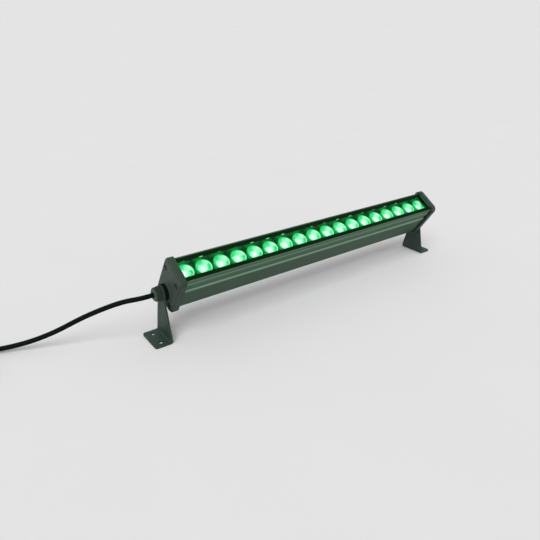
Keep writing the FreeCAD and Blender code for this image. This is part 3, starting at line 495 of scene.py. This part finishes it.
ceramic = Finish("tan ceramic capacitor", Roughness=0.45, Emission_Strength=1.0)
ceramic_grain = ceramic.place.noise(2600.0)
# Emission paints a green glow from the lenses on the capacitor.
ceramic.feed(
    Base_Color=ceramic_grain.mix(colour(128, 104, 74), colour(150, 124, 92)),
    Normal=ceramic_grain.bump(0.00001, 0.4),
    Emission_Color=ceramic_grain.mix(colour(0, 48, 18), colour(0, 62, 24)),
)
capacitor_width = 0.002
capacitor_bevel = 0.00015
capacitor_y = 0.0066
capacitor = rounded_block(capacitor_width, capacitor_width / 2, capacitor_width / 2, capacitor_bevel)
bmesh.ops.transform(capacitor, matrix=lamp_turn, verts=capacitor.verts)
repeated(
    "board_capacitors", capacitor, ceramic, "board_black",
    Count=gap_count, Start=lamp_matrix @ Vector((first_gap, capacitor_y, board_face)),
    Step=(lens_pitch, 0.0, 0.0),
)

# --- board screws ---
# Five stainless pan-head screws that clamp the light board to the shelf; the heads are polished by the
# driver bit and carry a painted green glow from the lenses.
board_steel = Finish("board screw steel", Metallic=1.0, Roughness=0.3, Emission_Strength=1.0)
bit_marks = board_steel.place.noise(1600.0)
board_steel.feed(
    Base_Color=bit_marks.mix(colour(96, 118, 102), colour(128, 152, 134)),
    Roughness=0.25 + bit_marks * 0.2,
    Emission_Color=bit_marks.mix(colour(0, 42, 16), colour(0, 56, 22)),
)
dress(board_steel, "board_screws")

# --- light chips ---
# Moulded one-watt packages with a clear silicone dome, soldered to the board under each lens. They burn
# green, whitest in the dome.
chip = Finish("lit chip", Roughness=0.25, Emission_Strength=1.0)
dome = chip.place.noise(700.0)
chip.feed(
    Base_Color=dome.mix(colour(120, 220, 160), colour(160, 240, 190)),
    Emission_Color=dome.mix(colour(120, 255, 170), colour(215, 255, 230)),
)
dress(chip, "led_chips")

# --- lens holders ---
# Cups of black polycarbonate round each lens. Light leaks through the wall, so the cup glows at its rim and
# is dark at its foot.
cup = Finish("glowing lens cup", Roughness=0.45, Specular_IOR_Level=0.1, Emission_Strength=1.0)
cup_place = cup.lamp_place()
cup_grain = cup.place.noise(1500.0)
cup_rim = cup_place.axis(2).between(board_face, front_height - lens_depth)
cup.feed(
    Base_Color=cup_grain.mix(colour(2, 18, 7), colour(5, 26, 11)),
    Normal=cup_grain.bump(0.00002, 0.4),
    Emission_Color=cup_rim.mix(colour(0, 64, 22), colour(8, 170, 76)),
)
dress(cup, "lens_holders")

# --- lenses ---
# Eighteen moulded acrylic lenses. Each shows the chip as a white core low on its left, a pale band across
# the middle and deep green to both sides, where the moulding turns the light away.
lit = Finish("lit lens", Roughness=0.15, Emission_Strength=1.0)
lens_place = lit.lamp_place()
u = beside_lens(lens_place.axis(0)) * (lens_pitch / lens_radius)
v = lens_place.axis(1) / lens_radius
swirl = lens_place.noise(150.0, 3.0, 0.6) - 0.5
ripple = lens_place.stretched(1.0, 1.0, 0.2).noise(420.0, 2.0) - 0.5
band_rise = 0.7              # slope of the pale band across the lens: along v and along u
band_run = 0.62
band_shift = 0.05
core_left = 0.24             # lens's middle to the white core, in lens radii
core_low = 0.22
across_band = v * band_rise - u * band_run + band_shift + swirl * 1.5
pale_band = abs(across_band).between(0.85, 0.05)
core_u = u + core_left
core_v = v + core_low
from_core = (core_u * core_u * 0.8 + core_v * core_v).root() + swirl * 0.55 + ripple * 0.25
core = from_core.between(0.8, 0.1)
from_axis = (u * u + v * v).root()
level = core.most(pale_band * 0.6 + swirl * 0.4) + ripple * 0.6
lens_green = lit.start.node(
    "ShaderNodeValToRGB",
    {"stops": [(0.0, colour(22, 190, 100)), (0.35, colour(70, 235, 145)), (0.68, colour(188, 252, 214)),
               (1.0, colour(246, 255, 250))]},
    {"Fac": level},
)
dark_edge = from_axis.between(0.86, 1.0)
bright_arc = from_axis.between(0.84, 0.9) * from_axis.between(0.98, 0.93) * u.between(0.5, 0.8)
edged = dark_edge.mix(lens_green, colour(0, 150, 72))
lit.feed(
    Base_Color=level.mix(colour(20, 110, 60), colour(60, 160, 100)),
    Emission_Color=(bright_arc * 0.8).mix(edged, colour(205, 255, 225)),
)
dress(lit, "lenses")


# --- lens rims ---
# The two halves of the mould leave a thin raised rim round each lens's face. It carries the light round
# the lens, brightest on the side away from the core.
def lathe(outline, segments):
    """Ring turned about Z from a closed outline of (radius, height) points."""
    shape = bmesh.new()
    rings = []
    for k in range(segments):
        angle = 2 * math.pi * k / segments
        rings.append([shape.verts.new((r * math.cos(angle), r * math.sin(angle), z)) for r, z in outline])
    for ring, following in zip(rings, rings[1:] + rings[:1]):
        for i in range(len(outline)):
            j = (i + 1) % len(outline)
            shape.faces.new((ring[i], following[i], following[j], ring[j]))
    return shape


rim_width = 0.0007
rim_height = 0.0005
rim_round = 0.0002
rim_segments = 48
rim_inner = lens_radius - rim_width
rim = lathe(
    [
        (rim_inner, 0.0),
        (lens_radius, 0.0),
        (lens_radius, rim_height - rim_round),
        (lens_radius - rim_round, rim_height),
        (rim_inner + rim_round, rim_height),
        (rim_inner, rim_height - rim_round),
    ],
    rim_segments,
)
bmesh.ops.transform(rim, matrix=lamp_turn, verts=rim.verts)
rim_glow = Finish("lit lens rim", Roughness=0.15, Emission_Strength=1.0)
rim_place = rim_glow.lamp_place()
rim_u = beside_lens(rim_place.axis(0)) * (lens_pitch / lens_radius)
rim_v = rim_place.axis(1) / lens_radius
rim_glow.feed(
    Base_Color=rim_u.between(-1.0, 1.0).mix(colour(10, 80, 40), colour(40, 150, 90)),
    Emission_Color=rim_u.between(0.45, 0.95).mix(
        rim_v.between(0.3, 0.95).mix(colour(0, 112, 50), colour(30, 178, 96)), colour(120, 245, 168)),
)
first_lens = -(lens_count - 1) / 2 * lens_pitch
repeated(
    "lens_rims", rim, rim_glow, "lens_plastic",
    Count=lens_count, Start=lamp_matrix @ Vector((first_lens, 0.0, front_height - lens_depth)),
    Step=(lens_pitch, 0.0, 0.0),
)

# --- window ---
# Clear toughened float glass, 3 mm thick, cut to length and held in the housing by the seals along both
# long edges. It has faint smears and dust.
glass = Finish("clear glass", Alpha=0.05, Specular_IOR_Level=0.1)
smudge = glass.place.noise(30.0, 3.0)
glass.feed(
    Base_Color=smudge.mix(colour(24, 60, 40), colour(44, 84, 60)),
    Roughness=0.03 + smudge * 0.06,
    Normal=smudge.bump(0.00002, 0.2),
)
dress(glass, "front_glass")

# --- window seals ---
# Black silicone channels pushed over the glass edges before it drops into the housing. The rubber is matt
# and carries a painted green glow all over, brightest on its inner lip; the upper one has painted glints
# above the lenses.
seal_rubber = Finish("black window seal", Roughness=0.7, Specular_IOR_Level=0.05, Emission_Strength=1.0)
seal_place = seal_rubber.lamp_place()
seal_dust = seal_rubber.place.noise(500.0, 3.0)
seal_inner = 0.0118          # lamp's middle plane to the seals' inner lips
glint_half_length = 0.1      # of a glint, either side of a lens's middle, as a share of the pitch
seal_across = seal_place.axis(1)
# Painted green glow, brighter on the inner lips.
seal_lip = abs(seal_across).between(seal_inner + 0.0006, seal_inner)
on_upper_lip = seal_across.between(0.0, 0.005)
on_upper_lip = on_upper_lip * seal_across.between(seal_inner + 0.0008, seal_inner + 0.0003)
along_seal = abs(beside_lens(seal_place.axis(0)))
lip_glint = (along_seal + seal_dust * 0.1).between(glint_half_length + 0.09, glint_half_length)
lip_glint = lip_glint * seal_place.noise(60.0).between(0.35, 0.65) * on_upper_lip
seal_rubber.feed(
    Base_Color=seal_dust.mix(colour(1, 6, 2), colour(4, 12, 5)),
    Roughness=0.6 + seal_dust * 0.2,
    Normal=seal_dust.bump(0.00003, 0.3),
    Emission_Color=lip_glint.mix(seal_lip.mix(colour(0, 29, 3), colour(0, 42, 10)), colour(150, 235, 172)),
)
dress(seal_rubber, "upper_glass_seal", "lower_glass_seal")

# --- end gaskets ---
# Flat black rubber sheets between the housing's ends and the caps; their edges stand 0.6 mm proud. The
# edge cut out round the lens bay catches the end lenses' light.
gasket_rubber = Finish("black gasket sheet", Roughness=0.75, Specular_IOR_Level=0.05, Emission_Strength=1.0)
gasket_place = gasket_rubber.lamp_place()
gasket_depth = front_height - gasket_place.axis(2)
cut_reach = bay_half_width + 0.0008      # lamp's middle plane to just behind the gaskets' cut edge
bay_edge = abs(gasket_place.axis(1)).between(cut_reach + 0.0005, cut_reach)
bay_edge = bay_edge * gasket_depth.between(0.003, 0.005)
bay_edge = bay_edge * gasket_depth.between(bay_depth + 0.002, bay_depth + 0.001)
cut_edge = gasket_rubber.place.noise(1100.0, 3.0)
gasket_rubber.feed(
    Base_Color=cut_edge.mix(colour(2, 6, 3), colour(9, 15, 10)),
    Roughness=0.65 + cut_edge * 0.2,
    Normal=cut_edge.bump(0.00005, 0.5),
    Emission_Color=bay_edge.mix(unlit, cut_edge.mix(colour(0, 70, 28), colour(4, 96, 42))),
)
dress(gasket_rubber, "left_gasket", "right_gasket")

# --- end caps ---
# Die-cast aluminium caps with bevelled edges, powder coated dark grey with a fine orange peel and a green
# tint painted on for the lenses' light. The sides are painted darker, as shade, and the coat is rubbed in
# places along the bevels; the recess in the right cap's inner face catches the last lens's light as a
# painted glow.
cast = Finish("powder coated casting", Specular_IOR_Level=0.2, Emission_Strength=1.0)
cap_place = cast.lamp_place()
cap_along, cap_across, cap_up = (cap_place.axis(i) for i in range(3))
peel = cast.place.noise(650.0, 2.0)
blotch = cast.place.noise(45.0, 3.0)
cap_half_width = 0.0235
cap_half_height = 0.0365
cap_middle = 0.012           # middle of the cap's face above the pivot axis
bevel = 0.0025
inner_face = 0.2395          # lamp's middle to the caps' inner faces
lens_relief = 0.0022         # depth of the recess in the caps for the last lenses
relief_half_width = 0.0118
past_side = abs(cap_across) - (cap_half_width - bevel)
past_end = abs(cap_up - cap_middle) - (cap_half_height - bevel)
past_edge = past_side.most(past_end)
rubbed_bevel = past_edge.between(-0.0004, 0.0002) * blotch.between(0.3, 0.6)
# The green in these greys is painted light from the lenses.
cap_grey = (blotch * 0.7 + peel * 0.3).mix(colour(47, 60, 54), colour(64, 77, 71))
relief_floor = inner_face + lens_relief
lit_face = cap_along.between(relief_floor + 0.0008, relief_floor + 0.0004) * cap_along.between(0.0, 0.1)
lit_face = lit_face * abs(cap_across).between(relief_half_width + 0.0010, relief_half_width)
past_front = cap_up - front_height
lit_face = lit_face * past_front.between(0.0022, 0.0004)
lit_face = lit_face * past_front.between(-bay_depth - 0.0005, -bay_depth)
# The sides past the bevels are painted darker, as shade.
shaded_sides = past_edge.between(0.0, 0.0006)
side_shaded_grey = shaded_sides.mix(cap_grey, peel.mix(colour(36, 52, 43), colour(46, 62, 53)))
cast.feed(
    Base_Color=(rubbed_bevel * 0.2).mix(side_shaded_grey, colour(80, 98, 88)),
    Roughness=0.46 + blotch * 0.14,
    Normal=peel.bump(0.00006, 0.5),
    Emission_Color=lit_face.mix(unlit, colour(22, 132, 62)),
)
dress(cast, "left_end_cap", "right_end_cap")

# --- cap screws ---
# Four self-tapping steel screws to a cap, zinc plated and blackened, sunk in counterbores and driven into
# the housing's screw channels. The plating is worn unevenly.
plated = Finish("blackened cap screws", Metallic=0.5)
plate_wear = plated.place.noise(1000.0, 3.0)
plated.feed(
    Base_Color=plate_wear.mix(colour(16, 24, 20), colour(40, 50, 45)),
    Roughness=0.35 + plate_wear * 0.2,
    Normal=plate_wear.bump(0.00003, 0.4),
)
dress(plated, "left_cap_screws", "right_cap_screws")

# --- brackets ---
# Bent sheet steel, powder coated dark grey: arm, bend and foot from one blank, with a punched head and two
# punched foot holes. The coat has a fine orange peel and uneven paler scuffs.
coat = Finish("powder coated sheet", Specular_IOR_Level=0.2)
bracket_peel = coat.place.noise(900.0, 2.0)
scuffs = coat.place.stretched(1.0, 1.0, 0.35).noise(120.0, 4.0, 0.65).between(0.55, 0.75)
# The green in these greys is painted light from the lenses.
coat_grey = bracket_peel.mix(colour(36, 52, 45), colour(49, 67, 58))
coat.feed(
    Base_Color=(scuffs * 0.3).mix(coat_grey, colour(88, 108, 96)),
    Roughness=0.44 + bracket_peel * 0.14 + scuffs * 0.1,
    Normal=bracket_peel.bump(0.00005, 0.5),
)
dress(coat, "left_bracket", "right_bracket")

# --- friction washers ---
# Black nylon washers between each cap's boss and its bracket arm, turned from sheet. They let the arms
# turn against the bolt and gland without scoring the coat, and are smooth and waxy.
waxy = Finish("black nylon washer", Roughness=0.5, Specular_IOR_Level=0.08)
turning = waxy.place.noise(1400.0)
waxy.feed(
    Base_Color=turning.mix(colour(1, 8, 3), colour(6, 16, 9)),
    Roughness=0.45 + turning * 0.15,
    Normal=turning.bump(0.00002, 0.3),
)
dress(waxy, "left_friction_washer", "right_friction_washer")

# --- cable gland ---
# Dark grey moulded nylon: threaded body with its hexagon, clamping nut with a rounded mouth, and locknut
# inside the cap. The nut's mouth is paler.
gland = Finish("moulded gland nylon", Specular_IOR_Level=0.2)
gland_grain = gland.place.noise(1200.0, 2.0)
mouth_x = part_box("gland_nut")[0].x
paler_length = 0.0008
# Paler band at the nut's mouth.
paler_mouth = gland.place.axis(0).between(mouth_x + paler_length + 0.0014, mouth_x + paler_length)
# The green in these greys is painted light from the lenses.
gland_dark = gland_grain.mix(colour(26, 38, 30), colour(38, 52, 42))
gland.feed(
    Base_Color=(paler_mouth * 0.6).mix(gland_dark, colour(66, 90, 74)),
    Roughness=0.4 + gland_grain * 0.15,
    Normal=gland_grain.bump(0.00003, 0.4),
)
dress(gland, "gland_body", "gland_nut", "gland_locknut")

gland_rubber = Finish("gland sleeve rubber", Roughness=0.7, Specular_IOR_Level=0.25)
sleeve_grain = gland_rubber.place.noise(1300.0)
gland_rubber.feed(
    Base_Color=sleeve_grain.mix(colour(8, 12, 9), colour(20, 26, 21)),
    Normal=sleeve_grain.bump(0.00003, 0.4),
)
dress(gland_rubber, "gland_seal")

# --- right pivot ---
# Stainless M12 bolt with a plain and a spring washer, forged and tumbled to an uneven satin finish, with a
# few duller stains.
stainless = Finish("tumbled stainless steel", Metallic=1.0)
tumbled = stainless.place.noise(900.0, 3.0)
stains = stainless.place.noise(160.0, 3.0).between(0.5, 0.8)
stainless.feed(
    Base_Color=(tumbled * 0.6 + stains * 0.4).mix(colour(150, 156, 152), colour(104, 110, 106)),
    Roughness=0.24 + tumbled * 0.16,
    Normal=tumbled.bump(0.00002, 0.4),
)
dress(stainless, "right_pivot_bolt", "right_flat_washer", "right_spring_washer")

# --- cord ---
# Black round rubber lead, from the gland down to the ground, put away in a coil, with a short tail. The
# jacket is extruded rubber with a dull, slightly cloudy sheen.
cord_diameter = 0.0065
cord_route = [
    (-0.26675, 0.0, 0.068),
    (-0.283, 0.0, 0.068),
    (-0.305, 0.007, 0.0675),
    (-0.330, 0.022, 0.057),
    (-0.354, 0.038, 0.0435),
    (-0.378, 0.052, 0.0285),
    (-0.401, 0.065, 0.0175),
    (-0.425, 0.0775, 0.010),
    (-0.451, 0.090, 0.006),
    (-0.477, 0.100, 0.0046),
    (-0.498, 0.100, 0.0046),
]
coil_turns = 3.25
coil_turn_pitch = 0.0072
coil_layer_pitch = 0.0071
coil_middle_radius = 0.034
coil_inner_radius = coil_middle_radius - coil_turn_pitch * coil_turns / 4
coil_outer_radius = coil_inner_radius + coil_turn_pitch * coil_turns / 2
coil_x = cord_route[-1][0] - cord_diameter
coil_y = cord_route[-1][1] - coil_outer_radius
coil_z = cord_route[-1][2]
points_per_turn = 16
reversal = 0.25              # turns before and after the middle over which the coil turns back and climbs
coil_points = []
coil_steps = round(coil_turns * points_per_turn)
for k in range(coil_steps + 1):
    turn = k * coil_turns / coil_steps
    from_middle = turn - coil_turns / 2
    growth = abs(from_middle)
    if growth < reversal:
        growth = from_middle ** 2 / (2 * reversal) + reversal / 2
    radius = coil_inner_radius + coil_turn_pitch * growth
    share = min(max((from_middle + reversal) / (2 * reversal), 0.0), 1.0)
    climb = coil_layer_pitch * share * share * (3 - 2 * share)
    angle = math.pi / 2 + 2 * math.pi * turn
    x, y = coil_x + radius * math.cos(angle), coil_y + radius * math.sin(angle)
    coil_points.append((x, y, coil_z + climb))
coil_end = Vector(coil_points[-1]) + Vector((0.0, -cord_diameter, 0.0))
tail_steps = [(0.0, 0.0, 0.0), (0.0, -0.011, 0.0), (-0.001, -0.024, -0.0018), (-0.001, -0.035, -0.0018)]
tail = [tuple(coil_end + Vector(step)) for step in tail_steps]
curve = bpy.data.curves.new("cord", "CURVE")
curve.dimensions = "3D"
spline = curve.splines.new("NURBS")
route = cord_route + coil_points + tail
spline.points.add(len(route) - 1)
for point, place in zip(spline.points, route):
    point.co = (*place, 1.0)
spline.order_u = 3
spline.use_endpoint_u = True
curve.resolution_u = 6
curve.bevel_depth = cord_diameter / 2
curve.bevel_resolution = 4
curve.use_fill_caps = True
cord = bpy.data.objects.new("cord", curve)
bpy.context.scene.collection.objects.link(cord)
jacket = Finish("black cord jacket", Specular_IOR_Level=0.06)
clouding = jacket.place.noise(220.0, 3.0)
matt = jacket.place.noise(1400.0)
jacket.feed(
    Base_Color=(clouding * 0.7 + matt * 0.3).mix(colour(1, 8, 2), colour(8, 18, 9)),
    Roughness=0.5 + clouding * 0.16,
    Normal=matt.bump(0.00003, 0.35),
)
curve.materials.append(jacket.material)
dress(jacket, "inner_lead")
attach(cord, "lamp")
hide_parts("cord_lead", "cord_coil", "cord_tail")

# --- coil tie ---
# Strip of black hook-and-loop tape wound once round both layers of the coil, its end lapped over its
# start and pressed down. The woven back shows as a fine rib across the strip.
tie_low, tie_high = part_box("coil_tie")
tape_thickness = 0.0009
tape_bevel = 0.0002
tape_rib_pitch = 0.0006
tape_corner = 0.0021
lap_length = 0.009
corner_steps = 6
inset = tape_thickness / 2
tape_y = (tie_low.y + inset + tape_corner, tie_high.y - inset - tape_corner)
tape_z = (tie_low.z + inset + tape_corner, tie_high.z - inset - tape_corner)
strip = [((tape_y[0] + tape_y[1]) / 2, tape_z[1] + tape_corner)]
for y, z, first in ((tape_y[1], tape_z[1], 90), (tape_y[1], tape_z[0], 0), (tape_y[0], tape_z[0], -90),
                    (tape_y[0], tape_z[1], -180)):
    for k in range(corner_steps + 1):
        angle = math.radians(first - 90 * k / corner_steps)
        strip.append((y + tape_corner * math.cos(angle), z + tape_corner * math.sin(angle)))
lap_start_y = strip[0][0] - 0.0015
lap_z = strip[0][1] + tape_thickness
lap_rise = 0.0012            # run over which the end climbs onto the start, before and after the edge
lap_gap = 0.0001
strip.append((lap_start_y - lap_rise, strip[0][1]))
strip.append((lap_start_y, lap_z - tape_thickness / 4))
strip.append((lap_start_y + lap_rise, lap_z + lap_gap))
strip.append((lap_start_y + lap_length - 0.002, lap_z + lap_gap))
strip.append((lap_start_y + lap_length, lap_z + 2 * lap_gap))
tape_columns = 6
tape_shape = bmesh.new()
tape_rows = []
for y, z in strip:
    row = []
    for c in range(tape_columns + 1):
        x = tie_low.x + (tie_high.x - tie_low.x) * c / tape_columns
        row.append(tape_shape.verts.new((x, y, z)))
    tape_rows.append(row)
for row, following in zip(tape_rows, tape_rows[1:]):
    for c in range(tape_columns):
        tape_shape.faces.new((row[c], row[c + 1], following[c + 1], following[c]))
tape = new_piece("tie_strap", tape_shape)
thickened = tape.modifiers.new("thickness", "SOLIDIFY")
thickened.thickness = tape_thickness
thickened.offset = 0.0
softened = tape.modifiers.new("edges", "BEVEL")
softened.width = tape_bevel
softened.segments = 2
plain_mesh(tape)
tape_fabric = Finish("woven tape", Roughness=0.85, Specular_IOR_Level=0.2, Sheen_Weight=0.3)
tape_rib = abs((tape_fabric.place.axis(0) / tape_rib_pitch).cycle() - 0.5) * 2.0
tape_fuzz = tape_fabric.place.noise(2600.0, 3.0)
tape_fabric.feed(
    Base_Color=(tape_rib * 0.5 + tape_fuzz * 0.5).mix(colour(12, 14, 13), colour(38, 41, 39)),
    Normal=tape_rib.bump(0.00012, 0.6, tape_fuzz.bump(0.00006, 0.5)),
)
tape.data.materials.clear()
tape.data.materials.append(tape_fabric.material)
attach(tape, "lamp")
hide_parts("coil_tie")

# --- connector ---
# Three-way screw connector moulded on the cord's end in black nylon: a grip with raised ribs, a knurled
# coupling ring, and plated brass pins inside the ring.
connector_black = Finish("connector nylon", Roughness=0.45)
shell_grain = connector_black.place.noise(1200.0, 2.0)
connector_black.feed(
    Base_Color=shell_grain.mix(colour(18, 20, 19), colour(34, 37, 35)),
    Roughness=0.4 + shell_grain * 0.15,
    Normal=shell_grain.bump(0.00003, 0.4),
)
dress(connector_black, "connector_body")

ring_nylon = Finish("coupling ring nylon", Roughness=0.4)
ring_grain = ring_nylon.place.noise(1000.0, 2.0)
ring_nylon.feed(
    Base_Color=ring_grain.mix(colour(24, 26, 26), colour(42, 46, 44)),
    Roughness=0.34 + ring_grain * 0.14,
    Normal=ring_grain.bump(0.00003, 0.35),
)
dress(ring_nylon, "connector_ring")

brass = Finish("plated brass pins", Metallic=1.0)
contact_wear = brass.place.noise(1500.0)
brass.feed(
    Base_Color=contact_wear.mix(colour(206, 172, 96), colour(226, 198, 130)),
    Roughness=0.18 + contact_wear * 0.18,
    Normal=contact_wear.bump(0.00001, 0.3),
)
dress(brass, "connector_pins")

body_low, body_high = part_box("connector_body")
grip_axis = ((body_low.x + body_high.x) / 2, (body_low.z + body_high.z) / 2)
grip_radius = (body_high.x - body_low.x) / 2
rib_count = 20
rib_length = 0.015
rib_width = 0.0009
rib_proud = 0.0003
rib_sink = 0.0004
rib_bevel = 0.0002
neck_length = 0.009
shoulder_length = 0.0034
grip_start = body_high.y - neck_length - shoulder_length
rib = rounded_block(rib_width, rib_length, rib_proud + rib_sink, rib_bevel)
bmesh.ops.translate(rib, vec=(0.0, 0.0, grip_radius - rib_sink), verts=rib.verts)
ribs = repeated(
    "connector_ribs", rib, connector_black, "connector_plastic",
    Count=rib_count, Start=(grip_axis[0], grip_start - rib_length / 2, grip_axis[1]), Step=(0.0, 0.0, 0.0),
    Turn=2 * math.pi / rib_count,
)

# --- floor, light and camera ---
# A plain pale floor, a white surround that the camera, metal and glass see at the floor's paleness, one
# wide soft lamp above, and the photograph's viewing angle.
floor_mesh = bpy.data.meshes.new("floor")
reach = 60.0
floor_corners = [(-reach, -reach, 0), (reach, -reach, 0), (reach, reach, 0), (-reach, reach, 0)]
floor_mesh.from_pydata(floor_corners, [], [(0, 1, 2, 3)])
floor = bpy.data.objects.new("floor", floor_mesh)
bpy.context.scene.collection.objects.link(floor)
pale = Finish("pale floor", Roughness=0.9, Specular_IOR_Level=0.1)
faint = pale.place.noise(6.0)
pale.feed(Base_Color=faint.mix(colour(226, 226, 226), colour(229, 229, 229)))
floor_mesh.materials.append(pale.material)

sky_light = 0.52             # strength that lights the object
sky_seen = 0.775             # strength that shows behind it
world = bpy.data.worlds.new("surround")
bpy.context.scene.world = world
world.use_nodes = True
background = world.node_tree.nodes["Background"]
background.inputs["Color"].default_value = (1, 1, 1, 1)
paths = Signal(world.node_tree)
camera_ray, glossy_ray, clear_ray = (
    paths.node("ShaderNodeLightPath", {}, {}, kind)
    for kind in ("Is Camera Ray", "Is Glossy Ray", "Is Transmission Ray")
)
seen = camera_ray.most(glossy_ray).most(clear_ray)
strength = sky_light + seen * (sky_seen - sky_light)
world.node_tree.links.new(strength.socket, background.inputs["Strength"])

lamp_strength = 2.0
lamp_spread = math.radians(40)
lamp_aim = (math.radians(26), math.radians(-32), 0)
soft_light = bpy.data.lights.new("soft lamp", "SUN")
soft_light.energy = lamp_strength
soft_light.angle = lamp_spread
soft_lamp = bpy.data.objects.new("soft lamp", soft_light)
soft_lamp.rotation_euler = lamp_aim
bpy.context.scene.collection.objects.link(soft_lamp)

camera_place = (-0.485113, -0.552735, 0.385986)
camera_yaw = 0.634
camera_pitch = 0.4538
camera_roll = 0.0077
sensor_width = 36.0          # millimetres, as is the focal length
focal_length = 33.71
camera_optics = bpy.data.cameras.new("camera")
camera_optics.sensor_width = sensor_width
camera_optics.lens = focal_length
camera_optics.clip_start = 0.01
camera = bpy.data.objects.new("camera", camera_optics)
camera_turn = (
    Matrix.Rotation(-camera_yaw, 4, "Z")
    @ Matrix.Rotation(math.pi / 2 - camera_pitch, 4, "X")
    @ Matrix.Rotation(camera_roll, 4, "Z")
)
camera.matrix_world = Matrix.Translation(camera_place) @ camera_turn
bpy.context.scene.collection.objects.link(camera)
bpy.context.scene.camera = camera
bpy.context.scene.view_settings.view_transform = "Standard"
